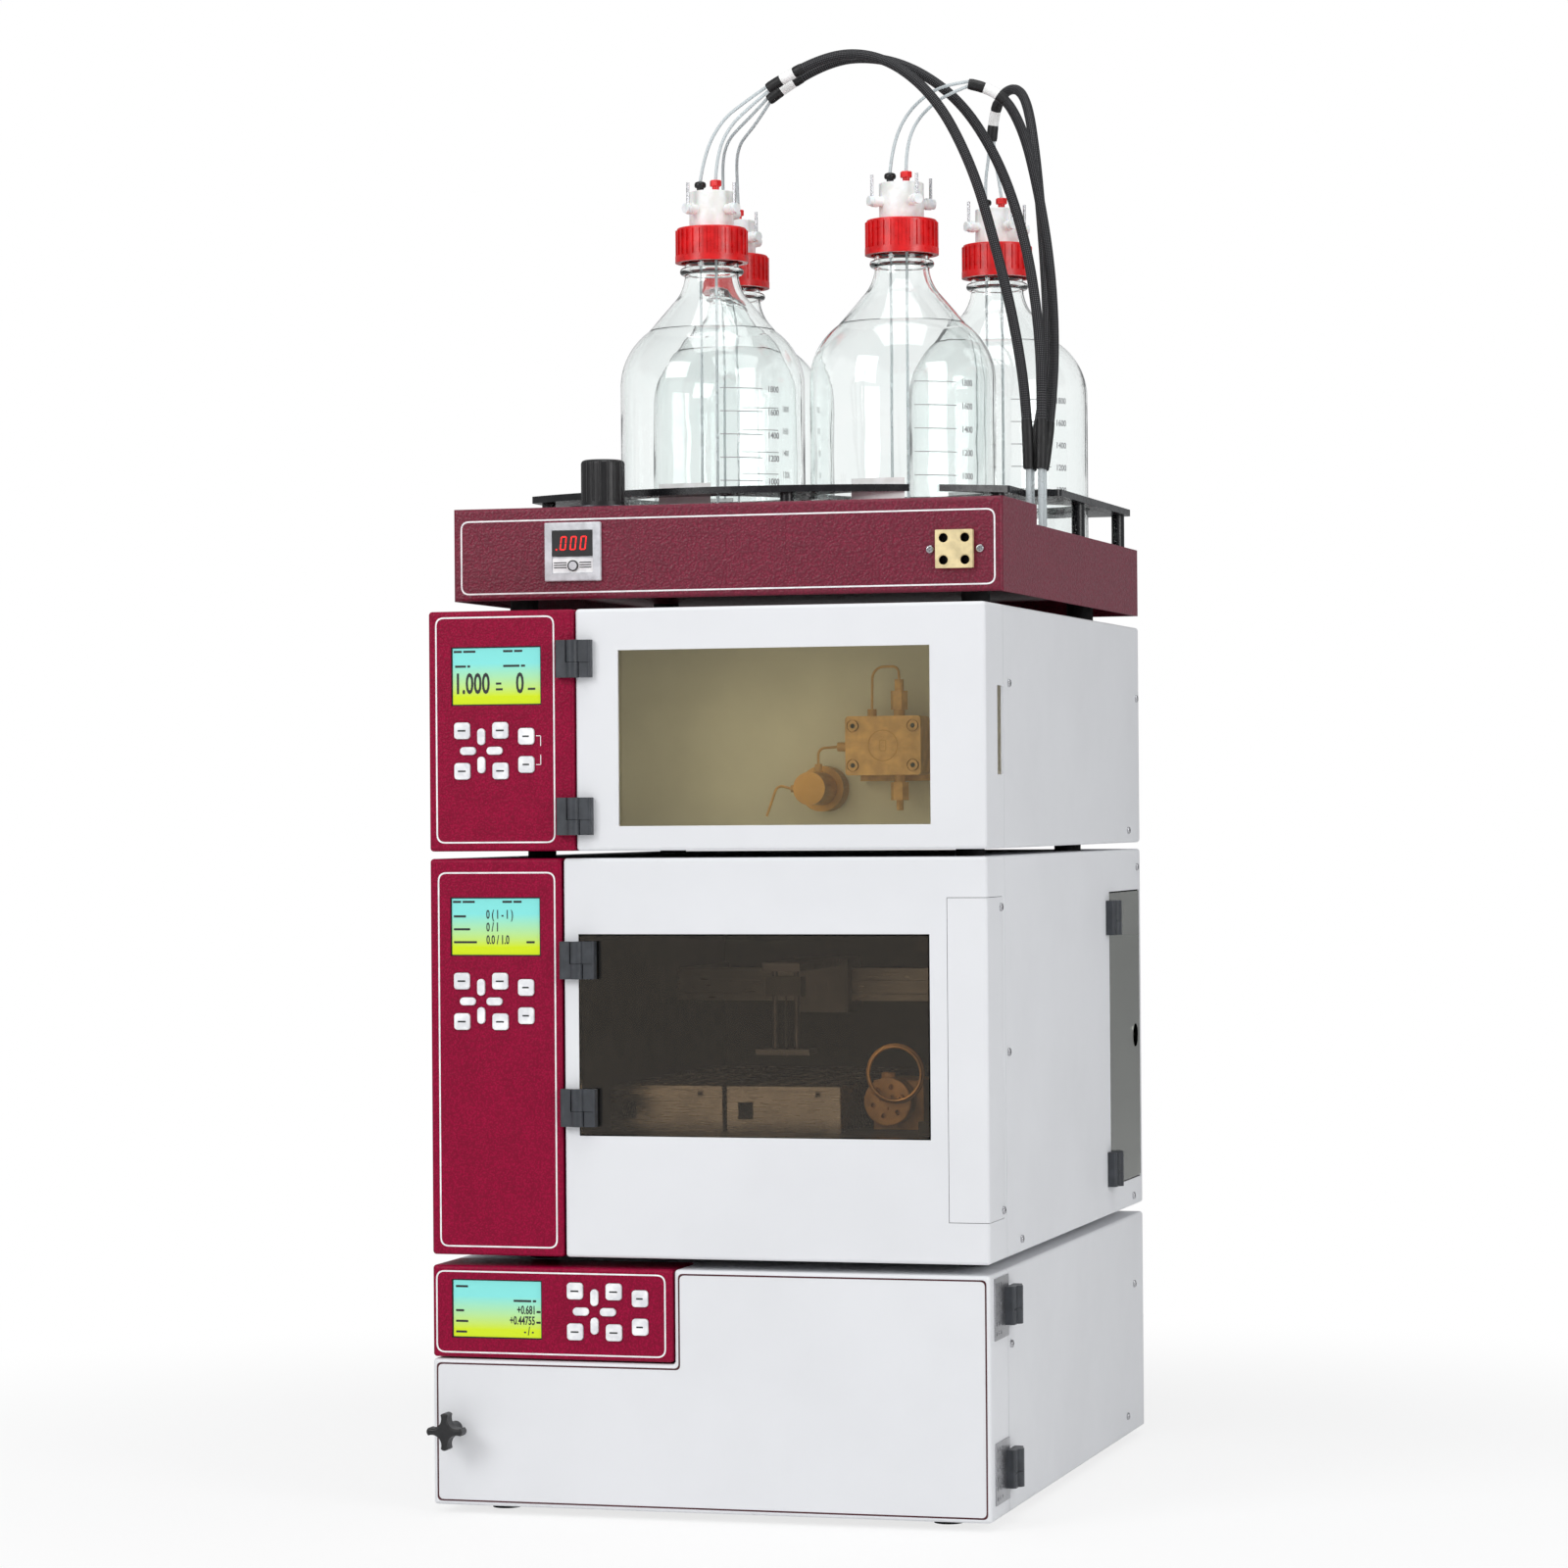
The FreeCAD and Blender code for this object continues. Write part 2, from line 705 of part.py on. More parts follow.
def sampler_case():
    """Front section, case, shelf and inner walls as one folded and welded piece."""
    shell = rear_shell(sampler_z, sampler_top)
    front = front_pan(sampler_panel_width + panel_gap, width, front_depth, sampler_z, sampler_top)
    x0, x1, z0, z1 = sampler_window
    front = front.cut(box(x0, x1, -1.0, face + 1.0, sampler_z + z0, sampler_z + z1))
    cut_z0 = sampler_z + cover_z[0] - cover_gap
    cut_z1 = sampler_z + cover_z[1] + cover_gap
    cut_x = cover_front - cover_gap
    front = front.cut(box(cut_x, width + 1.0, -1.0, cover_side + cover_gap, cut_z0, cut_z1))
    lip_x = width - 2 * skin
    side_lip = box(lip_x, width - skin, 30.0, front_depth, cut_z0 - 8.0, cut_z1 + 8.0)
    front_lip = box(cover_front - 10.0, cover_front + 8.0, face, face + skin, cut_z0 - 8.0, cut_z1 + 8.0)
    inner = width - skin
    partition_x = sampler_panel_width + panel_gap
    low = sampler_z + skin
    high = sampler_top - skin
    wall_y = sampler_bulkhead_y
    shelf_top = sampler_z + shelf_height - skin
    partition = box(partition_x, partition_x + skin, front_depth, wall_y, low, high)
    shelf = box(partition_x, inner, face, wall_y, shelf_top - skin, shelf_top)
    bulkhead = box(skin, inner, wall_y, wall_y + skin, low, high)
    stops = []
    stop_half = 5.0
    stop_end = cover_front - 4.0
    stop_start = x1 - 9.5
    for z in (z0 + 7.5, z1 - 6.5):
        z_low = sampler_z + z - stop_half
        z_high = sampler_z + z + stop_half
        tab = box(stop_start, stop_end, pane + 0.3, pane + 1.8, z_low, z_high)
        foot = box(x1 + 1.0, stop_end, face, pane + 1.8, z_low, z_high)
        stops.append(tab)
        stops.append(foot)
    case = joined([shell, front, side_lip, front_lip, partition, shelf, bulkhead] + stops)
    y0, y1, s0, s1 = side_window
    side_cut = box(width - 2 * skin, width + 1.0, y0, y1, sampler_z + s0, sampler_z + s1)
    groove = box(-1.0, width + 1.0, front_depth - seam, front_depth, sampler_z - 1.0, sampler_top + 1.0)
    core = box(seam, width - seam, 0, depth, sampler_z + seam, sampler_top - seam)
    cover_holes = []
    for y, z in cover_screws:
        start = V(width - 3 * skin, y, sampler_z + z)
        cover_holes.append(rod(screw_radius + screw_gap, 4 * skin, start, RIGHT))
    mid = sampler_z + sampler_height / 2
    cuts = [side_cut, groove.cut(core), inlet_opening(mid)]
    return case.cut(cuts + vent_slots(mid) + screw_holes("sampler") + cover_holes)


def sampler_corner_cover():
    """The angle cover that wraps the front right corner."""
    z0 = sampler_z + cover_z[0]
    z1 = sampler_z + cover_z[1]
    block = box(cover_front, width, 0, cover_side, z0, z1)
    corner = edges_on(block, lambda p: abs(p.x - width) < 1e-6 and abs(p.y) < 1e-6)
    block = block.makeFillet(edge_radius, corner)
    cover = block.cut(box(cover_front - 1.0, width - skin, face, cover_side + 1.0, z0 - 1.0, z1 + 1.0))
    holes = []
    for y, z in cover_screws:
        start = V(width - 3 * skin, y, sampler_z + z)
        holes.append(rod(screw_radius + screw_gap, 4 * skin, start, RIGHT))
    return cover.cut(holes)


def sampler_pane():
    x0, x1, z0, z1 = sampler_window
    low = sampler_z + z0 + pane_gap
    high = sampler_z + z1 - pane_gap
    sheet = box(x0 + pane_gap, x1 - pane_gap, 0, pane, low, high)
    return rounded_along(sheet, BACK, 1.5)


def side_pane():
    y0, y1, z0, z1 = side_window
    low = sampler_z + z0 + pane_gap
    high = sampler_z + z1 - pane_gap
    sheet = box(width - pane, width, y0 + pane_gap, y1 - pane_gap, low, high)
    sheet = rounded_along(sheet, RIGHT, 1.5)
    hole_z = sampler_z + 131.5
    return sheet.cut(rod(finger_hole_radius, 3 * pane, V(width - 2 * pane, y1 - 17.0, hole_z), RIGHT))


def hole_line(start, length):
    """Places of the vial holes along one side of a rack."""
    count = int((length - 2 * rack_sheet) // vial_pitch)
    first = start + (length - (count - 1) * vial_pitch) / 2
    return [first + i * vial_pitch for i in range(count)]


# The needle stands over the right rack's first column and its nearest row to the carriage's arm
needle_x = hole_line(rack_x[1], rack_width)[0]
needle_y = min(hole_line(rack_front, rack_depth), key=lambda y: abs(y - (rail_y - arm_length)))


def vial_rack(x0):
    """A sheet rack: perforated top, plain sides, a lip handle and a square cut-out in front."""
    z0 = sampler_z + shelf_height - skin
    z1 = z0 + rack_height
    x1 = x0 + rack_width
    y1 = rack_front + rack_depth
    t = rack_sheet
    inside = box(x0 + t, x1 - t, rack_front + t, y1 - t, z0 + t, z1 - t)
    shell = box(x0, x1, rack_front, y1, z0, z1).cut(inside)
    cuts = []
    for x in hole_line(x0, rack_width):
        for y in hole_line(rack_front, rack_depth):
            cuts.append(rod(vial_radius, 4 * t, V(x, y, z1 - 2 * t), UP))
    cuts.append(box(x0 + 8.0, x0 + 19.0, rack_front - 1.0, rack_front + 2 * t, z0 + 9.0, z0 + 21.0))
    lip_y = rack_front - 7.0
    lip_z = z1 - 4.5
    lip = box(x0 + 16.0, x1 - 16.0, lip_y, rack_front + t, lip_z, lip_z + t)
    turn_down = box(x0 + 16.0, x1 - 16.0, lip_y, lip_y + t, lip_z - 3.0, lip_z + t)
    return joined([shell, lip, turn_down]).cut(cuts)


def gantry_rail():
    """The aluminium cross rail with two grooves, between two end brackets."""
    z0 = sampler_z + rail_bottom
    z1 = z0 + rail_height
    left = sampler_panel_width + panel_gap + skin
    inner = width - skin
    rail = box(left, inner, rail_y, rail_y + rail_depth, z0, z1)
    for dz in (5.0, 15.0):
        rail = rail.cut(box(left - 1.0, inner + 1.0, rail_y - 1.0, rail_y + 2.5, z0 + dz, z0 + dz + 4.0))
    brackets = []
    for x in (left, inner - bracket_thickness):
        brackets.append(box(x, x + bracket_thickness, rail_y + rail_depth, sampler_bulkhead_y, z0, z1))
    return joined([rail] + brackets)


def needle_carriage():
    """The carriage that hugs the rail and carries a guide plate with two guide rods."""
    gap = running_gap
    z0 = sampler_z + rail_bottom
    z1 = z0 + rail_height
    x0 = needle_x - carriage_width / 2
    x1 = x0 + carriage_width
    outer = box(x0, x1, rail_y - 12.0, rail_y + rail_depth + 8.0, z0 - 8.0, z1 + 8.0)
    cut = box(x0 - 1.0, x1 + 1.0, rail_y - gap, rail_y + rail_depth + gap, z0 - gap, z1 + gap)
    carriage = outer.cut(cut)
    arm_y = needle_y - 12.0
    arm = box(x0 + 6.0, x1 - 6.0, arm_y, rail_y - 12.0, z1 + 2.0, z1 + 8.0)
    rod_top = z1 + 2.0
    foot_z = z0 - 30.0
    rods = []
    for x in (x0 + 12.0, x1 - 12.0):
        rods.append(rod(guide_radius, rod_top - foot_z, V(x, needle_y, foot_z), UP))
    foot = box(x0, x1, arm_y + 2.0, arm_y + 24.0, foot_z - 4.0, foot_z)
    middle = V(needle_x, needle_y, foot_z - 5.0)
    return joined([carriage, arm, foot] + rods).cut(rod(1.4, 6.0, middle, UP))


def needle_holder():
    """The sliding block with its needle, guided on the carriage's two rods."""
    z_top = sampler_z + rail_bottom + rail_height - 2.0
    x0 = needle_x - carriage_width / 2
    x1 = x0 + carriage_width
    y = needle_y
    block = box(x0 + 7.0, x1 - 7.0, y - 7.0, y + 7.0, z_top - 14.0, z_top)
    bore = guide_radius + pin_clearance
    bores = [rod(bore, 16.0, V(x, y, z_top - 15.0), UP) for x in (x0 + 12.0, x1 - 12.0)]
    needle = rod(0.8, 44.0, V(needle_x, y, z_top - 14.0), UP * -1)
    return joined([block, needle]).cut(bores)


def injection_valve():
    """The valve's round stator on its drive body, which stands on the shelf."""
    x = valve_centre[0]
    z = sampler_z + valve_centre[1]
    floor_z = sampler_z + shelf_height - skin
    disc = rod(valve_radius, 16.0, V(x, valve_face_y, z), BACK)
    disc = disc.makeFillet(1.2, [e for e in disc.Edges if abs(e.CenterOfMass.y - valve_face_y) < 1e-6])
    body = box(x - 14.0, x + 22.0, valve_face_y + 16.0, valve_face_y + 70.0, floor_z, z + 14.0)
    boss = rod(5.0, 4.0, V(x - 1.0, valve_face_y + 8.0, z + valve_radius - 1.0), UP)
    ports = []
    for i in range(6):
        a = math.radians(60 * i + 15)
        spot = V(x + valve_port_ring * math.cos(a), valve_face_y - 1.0, z + valve_port_ring * math.sin(a))
        ports.append(rod(1.9, 7.0, spot, BACK))
    for i in range(3):
        a = math.radians(120 * i + 45)
        spot = V(x + 5.0 * math.cos(a), valve_face_y - 1.0, z + 5.0 * math.sin(a))
        ports.append(rod(1.2, 3.0, spot, BACK))
    return joined([disc, body, boss]).cut(ports)


def sample_loop():
    """Two turns of stiff tubing in front of the valve, each with a straight end in a tube nut."""
    centre = V(loop_centre[0], valve_face_y - 9.6, sampler_z + loop_centre[1])
    second = centre - BACK * loop_step
    solids = [
        Part.makeTorus(loop_radius, loop_tube_radius, centre, BACK),
        Part.makeTorus(loop_radius - loop_tube_radius, loop_tube_radius, second, BACK),
    ]
    for degrees, end_y in ((135, centre.y), (15, second.y)):
        a = math.radians(degrees)
        x = valve_centre[0] + valve_port_ring * math.cos(a)
        z = sampler_z + valve_centre[1] + valve_port_ring * math.sin(a)
        solids.append(rod(2.6, 6.0, V(x, valve_face_y, z), BACK * -1))
        solids.append(rod(loop_tube_radius, valve_face_y - end_y, V(x, valve_face_y, z), BACK * -1))
    return joined(solids)


# Pump
pump_top = pump_z + pump_height
pump_door_x = pump_panel_width + panel_gap


def pump_case():
    shell = rear_shell(pump_z, pump_top)
    inner = width - skin
    low = pump_z + skin
    high = pump_top - skin
    wall_y = pump_bulkhead_y
    bulkhead = box(skin, inner, wall_y, wall_y + skin, low, high)
    partition = box(pump_panel_width - skin, pump_panel_width, front_depth, wall_y, low, high)
    mid = pump_z + pump_height / 2
    case = joined([shell, bulkhead, partition])
    return case.cut([inlet_opening(mid)] + vent_slots(mid) + screw_holes("pump"))


def pump_door():
    pan = front_pan(pump_door_x, width, front_depth - seam, pump_z, pump_top)
    x0, x1, z0, z1 = pump_window
    y0, y1, s0, s1 = finger_slot
    window = box(x0, x1, -1.0, face + 1.0, pump_z + z0, pump_z + z1)
    slot = rounded_along(box(width - 2 * skin, width + 1.0, y0, y1, pump_z + s0, pump_z + s1), RIGHT, 1.0)
    return pan.cut([window, slot])


def pump_pane():
    x0, x1, z0, z1 = pump_window
    lap = pump_pane_lap
    return box(x0 - lap, x1 + lap, face, face + pane, pump_z + z0 - lap, pump_z + z1 + lap)


def pump_head():
    """The head block with four socket screws and a round plate, on its carrier."""
    x0, x1 = head_x
    z0 = pump_z + head_z[0]
    z1 = pump_z + head_z[1]
    thickness = 26.0
    block = box(x0, x1, head_front, head_front + thickness, z0, z1)
    block = rounded_along(block, BACK, 2.5)
    carrier = box(x0 + 4.0, x1 + 6.0, head_front + thickness, pump_bulkhead_y, z0 - 4.0, z1 - 3.0)
    middle = V((x0 + x1) / 2, head_front, (z0 + z1) / 2)
    solid = joined([block, carrier])
    recesses = []
    heads = []
    for dx in (5.5, x1 - x0 - 5.5):
        for dz in (6.8, z1 - z0 - 6.8):
            spot = V(x0 + dx, head_front, z0 + dz)
            recesses.append(rod(4.4, 2.0, spot, BACK))
            heads.append(rod(3.6, 3.0, spot - BACK, BACK).cut(rod(1.7, 2.0, spot - BACK, BACK)))
    groove = rod(11.0, 0.6, middle, BACK).cut(rod(9.8, 0.6, middle, BACK))
    return joined([solid.cut(recesses + [groove])] + heads)


def hexagon(across, height, start):
    """A hexagonal prism that stands on a point."""
    radius = across / math.sqrt(3)
    corners = []
    for i in range(7):
        a = math.radians(60 * i)
        corners.append(V(radius * math.cos(a), radius * math.sin(a), 0))
    prism = Part.Face(Part.makePolygon(corners)).extrude(V(0, 0, height))
    prism.translate(start)
    return prism


def bent_tube(radius, points):
    """A tube along straight runs that are joined by tangent arcs. Returns the solid and its bend radii."""
    edges = []
    radii = []
    start = points[0]
    for before, corner, after in zip(points, points[1:], points[2:]):
        run_in = corner - before
        run_out = after - corner
        half_turn = run_in.getAngle(run_out) / 2
        reach = 0.45 * min(run_in.Length, run_out.Length)
        radii.append(reach / math.tan(half_turn))
        u = V(run_in).normalize()
        w = V(run_out).normalize()
        tangent_in = corner - u * reach
        tangent_out = corner + w * reach
        inward = (w - u).normalize()
        sag = radii[-1] / math.cos(half_turn) - radii[-1]
        edges.append(Part.LineSegment(start, tangent_in).toShape())
        edges.append(Part.Arc(tangent_in, corner + inward * sag, tangent_out).toShape())
        start = tangent_out
    edges.append(Part.LineSegment(start, points[-1]).toShape())
    path = Part.Wire(edges)
    direction = points[1] - points[0]
    section = Part.Wire([Part.Circle(points[0], direction, radius).toShape()])
    tube = path.makePipeShell([section], True, False)
    return tube, radii, path.Length


def pump_lines():
    """Check valves, tube nuts and the stiff capillaries between them."""
    y = fitting_y
    z0 = pump_z + head_z[0]
    z1 = pump_z + head_z[1]
    up_neck = rod(4.0, 4.5, V(valve_x, y, z1), UP)
    up_hex = hexagon(10.5, 13.0, V(valve_x, y, z1 + 4.5))
    up_nut = rod(nut_radius, 8.0, V(valve_x, y, z1 + 17.5), UP)
    low_neck = rod(4.0, 5.0, V(valve_x, y, z0 - 5.0), UP)
    low_hex = hexagon(11.0, 12.5, V(valve_x, y, z0 - 17.5))
    low_tip = rod(2.4, 7.0, V(valve_x, y, z0 - 24.5), UP)
    line_nut = rod(nut_radius, 5.0, V(head_line_x, y, z1), UP)
    nut_z = pump_z + 71.0
    left_nut = rod(nut_radius, 9.0, V(head_x[0], y, nut_z), RIGHT * -1)
    damper_top = pump_z + damper_z + damper_radius
    damper_y = damper_front + 16.0
    damper_nut = rod(nut_radius - 0.6, 6.0, V(damper_x + 2.5, damper_y, damper_top - 0.3), UP)
    side_start = V(damper_x - damper_radius + 0.3, damper_y, pump_z + damper_z)
    side_nut = rod(nut_radius - 0.6, 6.0, side_start, RIGHT * -1)
    top_z = z1 + 25.5
    over = [
        V(valve_x, y, top_z),
        V(valve_x - 0.5, y, top_z + 9.0),
        V(head_line_x + 0.5, y, top_z + 9.0),
        V(head_line_x, y, z1 + 5.0),
    ]
    nut_end = head_x[0] - 9.0
    across = [
        V(nut_end, y, nut_z),
        V(damper_x + 2.5, damper_y, nut_z - 1.0),
        V(damper_x + 2.5, damper_y, damper_top + 5.7),
    ]
    left_end = damper_x - damper_radius - 5.7
    tail = [
        V(left_end, damper_y, pump_z + damper_z),
        V(left_end - 10.0, damper_y, pump_z + damper_z + 3.0),
        V(left_end - 18.0, damper_y, pump_z + damper_z - 19.0),
    ]
    tubes = [bent_tube(capillary_radius, route)[0] for route in (over, across, tail)]
    solids = [up_neck, up_hex, up_nut, low_neck, low_hex, low_tip, line_nut, left_nut, damper_nut, side_nut]
    return joined(solids + tubes)


def pulse_damper():
    """The pulse damper: a turned body with a wider foot on the bulkhead."""
    z = pump_z + damper_z
    front = rod(damper_radius, damper_step - damper_front, V(damper_x, damper_front, z), BACK)
    rear = rod(damper_base_radius, pump_bulkhead_y - damper_step, V(damper_x, damper_step, z), BACK)
    solid = joined([front, rear])
    damper_y = damper_front + 16.0
    top_bore = rod(nut_radius - 0.55, 3.0, V(damper_x + 2.5, damper_y, z + damper_radius - 0.5), UP)
    side_bore = rod(nut_radius - 0.55, 3.0, V(damper_x - damper_radius + 0.5, damper_y, z), RIGHT * -1)
    return solid.cut([top_bore, side_bore])


# Organiser
organiser_top = organiser_z + organiser_height
deck_end = organiser_setback + deck_depth
tray_low_top = organiser_top - side_step
floor_z = organiser_z + tray_floor
tray_plate = 2.0
hose_end_x = (width - 20.5, width - 11.5)
hose_end_y = (depth - 288.5, depth - 279.0)


def organiser_tray():
    """A folded tray: a closed deck in front and an open well with a raised floor behind."""
    solid = box(0, width, organiser_setback, depth, organiser_z, organiser_top)
    front = edges_on(solid, lambda p: abs(p.y - organiser_setback) < 1e-6)
    outer = solid.makeFillet(edge_radius, front)
    t = tray_plate
    under = box(t, width - t, organiser_setback + t, depth - t, organiser_z - 1.0, floor_z - t)
    well = box(t, width - t, deck_end, depth - t, floor_z, organiser_top + 1.0)
    lowered = box(-1.0, width + 1.0, deck_end, depth + 1.0, tray_low_top, organiser_top + 1.0)
    space = box(t, width - t, organiser_setback + t, deck_end - t, floor_z, organiser_top - t)
    tray = outer.cut([under, well, lowered, space])
    sockets = []
    bores = []
    for x in hose_end_x:
        for y in hose_end_y:
            sockets.append(rod(socket_radius - 0.4, socket_height, V(x, y, floor_z), UP))
            bores.append(rod(socket_bore, socket_height + 4 * t, V(x, y, floor_z - 2 * t), UP))
    tray = joined([tray] + sockets)
    y0 = organiser_setback - 1.0
    y1 = organiser_setback + t + 1.0
    half = gauge_neck / 2
    gz = organiser_z + gauge_z
    gauge_hole = box(gauge_x - half, gauge_x + half, y0, y1, gz - half, gz + half)
    mz = organiser_z + manifold_z
    side = manifold_side / 2 + screw_gap
    manifold_hole = box(manifold_x - side, manifold_x + side, y0, y1, mz - side, mz + side)
    holes = []
    for way in (-1, 1):
        spot = V(manifold_x + way * manifold_screw_offset, y0, mz)
        holes.append(rod(screw_radius + screw_gap, y1 - y0, spot, BACK))
    shaft_start = V(regulator_x, regulator_y, organiser_top - 2 * t)
    shaft_hole = rod(shaft_radius + screw_gap, 4 * t, shaft_start, UP)
    return tray.cut(bores + holes + [gauge_hole, manifold_hole, shaft_hole])


def bottle_places():
    return {
        "front_left": (rack_centre_x - front_bottle_span, front_bottle_y),
        "front_right": (rack_centre_x + front_bottle_span, front_bottle_y),
        "back_left": (rack_centre_x - back_bottle_span, back_bottle_y),
        "back_right": (rack_centre_x + back_bottle_span, back_bottle_y),
    }


rack_z = organiser_top + rack_over_deck
rack_left = 12.0
rack_right = width - 4.0
rack_notch_x = width - 30.0
rack_notch_y = depth - 256.5
rack_corner_left_y = depth - 324.5
rack_corner_right_y = depth - 308.5
rack_bow_y = depth - 374.5


def rack_plate():
    """The bottle rack: a bowed front edge, four bottle holes and a notch for the hoses."""
    rear = depth - 3.0
    corner = [
        V(rack_notch_x, rack_corner_right_y, rack_z),
        V(rack_notch_x, rack_notch_y, rack_z),
        V(rack_right, rack_notch_y, rack_z),
        V(rack_right, rear, rack_z),
        V(rack_left, rear, rack_z),
        V(rack_left, rack_corner_left_y, rack_z),
    ]
    edges = [Part.LineSegment(a, b).toShape() for a, b in zip(corner, corner[1:])]
    bow = V(rack_centre_x, rack_bow_y, rack_z)
    edges.append(Part.Arc(corner[-1], bow, corner[0]).toShape())
    plate = Part.Face(Part.Wire(edges)).extrude(V(0, 0, rack_thickness))
    plate = rounded_along(plate, UP, 4.0)
    cuts = []
    for x, y in bottle_places().values():
        start = V(x, y, rack_z - rack_thickness)
        cuts.append(rod(bottle_radius + bottle_gap, 3 * rack_thickness, start, UP))
    for x, y, _ in post_places():
        cuts.append(rod(screw_radius, 3 * rack_thickness, V(x, y, rack_z - rack_thickness), UP))
    return plate.cut(cuts)


def post_places():
    """Each post's place, and the height of what it stands on."""
    left = rack_left + 10.0
    right = rack_right - 8.0
    rear = depth - 15.5
    return (
        (left, rack_corner_left_y + 10.0, floor_z),
        (rack_centre_x + 7.0, rack_bow_y + 10.5, organiser_top),
        (rack_notch_x - 11.0, rack_corner_right_y + 8.0, floor_z),
        (right, back_bottle_y - 45.0, floor_z),
        (right, rear, floor_z),
        (left, back_bottle_y - 68.0, floor_z),
        (left, rear, floor_z),
    )


def rack_posts():
    """Round posts, each with a small screw end that comes up through the plate."""
    posts = []
    for x, y, z in post_places():
        post = rod(post_radius, rack_z - z, V(x, y, z), UP)
        end = rod(screw_radius - pin_clearance, rack_thickness, V(x, y, rack_z), UP)
        posts.append(joined([post, end]))
    return group(posts)


def regulator_body():
    """The pressure regulator below the deck, with its flange and shaft above it."""
    x = regulator_x
    y = regulator_y
    flange = rod(flange_radius, flange_thickness, V(x, y, organiser_top), UP)
    shaft = rod(shaft_radius, flange_thickness + 24.0 + tray_plate, V(x, y, organiser_top - tray_plate), UP)
    body = rod(16.0, 26.0, V(x, y, organiser_top - tray_plate - 26.0), UP)
    return joined([flange, shaft, body])


def regulator_knob():
    """A fluted knob with a domed top, bored for the regulator's shaft."""
    x = regulator_x
    y = regulator_y
    z0 = organiser_top + flange_thickness + 0.3
    body = rod(knob_radius, knob_height, V(x, y, z0), UP)
    body = body.makeFillet(3.0, edges_on(body, lambda p: p.z > z0 + knob_height - 0.01))
    flutes = []
    count = 18
    for i in range(count):
        a = 2 * math.pi * i / count
        spot = V(x + (knob_radius + 0.9) * math.cos(a), y + (knob_radius + 0.9) * math.sin(a), z0 + 3.0)
        flutes.append(rod(1.7, knob_height, spot, UP))
    bore = rod(shaft_radius + pin_clearance, 25.0, V(x, y, z0 - 0.3), UP)
    return body.cut(flutes + [bore])


def pressure_gauge():
    """The digital gauge: a bezel with a recessed face, one button and a neck through the front."""
    z = organiser_z + gauge_z
    y = organiser_setback
    half = gauge_side / 2
    neck = gauge_neck / 2 - screw_gap
    bezel = box(gauge_x - half, gauge_x + half, y - gauge_proud, y, z - half, z + half)
    front = edges_on(bezel, lambda p: p.y < y - gauge_proud + 1e-6)
    bezel = bezel.makeFillet(1.0, front + edges_along(bezel, BACK))
    body = box(gauge_x - neck, gauge_x + neck, y, y + 26.0, z - neck, z + neck)
    face_half = half - 5.5
    x0 = gauge_x - face_half
    x1 = gauge_x + face_half
    face_y = y - gauge_proud
    recess = box(x0, x1, face_y - 1.0, face_y + 1.2, z - face_half, z + face_half)
    screen = box(gauge_x - 12.2, gauge_x + 12.2, face_y, face_y + 2.4, z - 3.4, z + 13.0)
    button = rod(3.2, 1.6, V(gauge_x + 0.4, face_y - 0.2, z - 9.9), BACK)
    return joined([joined([bezel, body]).cut([recess, screen]), button])


def manifold_block():
    """The port block with four tube ports, and a flange behind the front sheet."""
    z = organiser_z + manifold_z
    y = organiser_setback
    side = manifold_side / 2
    block = box(manifold_x - side, manifold_x + side, y - manifold_proud, y + 20.0, z - side, z + side)
    flange_x = manifold_screw_offset + 5.0
    y_in = y + tray_plate
    flange = box(manifold_x - flange_x, manifold_x + flange_x, y_in, y_in + 3.0, z - side, z + side)
    solid = joined([rounded_along(block, BACK, 0.8), flange])
    cuts = []
    half = port_pitch / 2
    for dx in (-half, half):
        for dz in (-half, half):
            start = V(manifold_x + dx, y - manifold_proud, z + dz)
            cuts.append(rod(port_radius, port_depth, start, BACK))
            cuts.append(Part.makeCone(port_radius + 0.7, port_radius, 0.7, start, BACK))
    for way in (-1, 1):
        spot = V(manifold_x + way * manifold_screw_offset, y_in - 1.0, z)
        cuts.append(rod(screw_radius + screw_gap, 5.0, spot, BACK))
    return solid.cut(cuts)


# Bottles stand on the tray's floor
rim_z = floor_z + bottle_height
cap_top = rim_z + cap_above_rim
head_top = cap_top + head_rise


def arc_or_line(points):
    places = [V(radius, 0, height) for radius, height in points]
    if len(places) == 2:
        return Part.LineSegment(*places).toShape()
    return Part.Arc(*places).toShape()


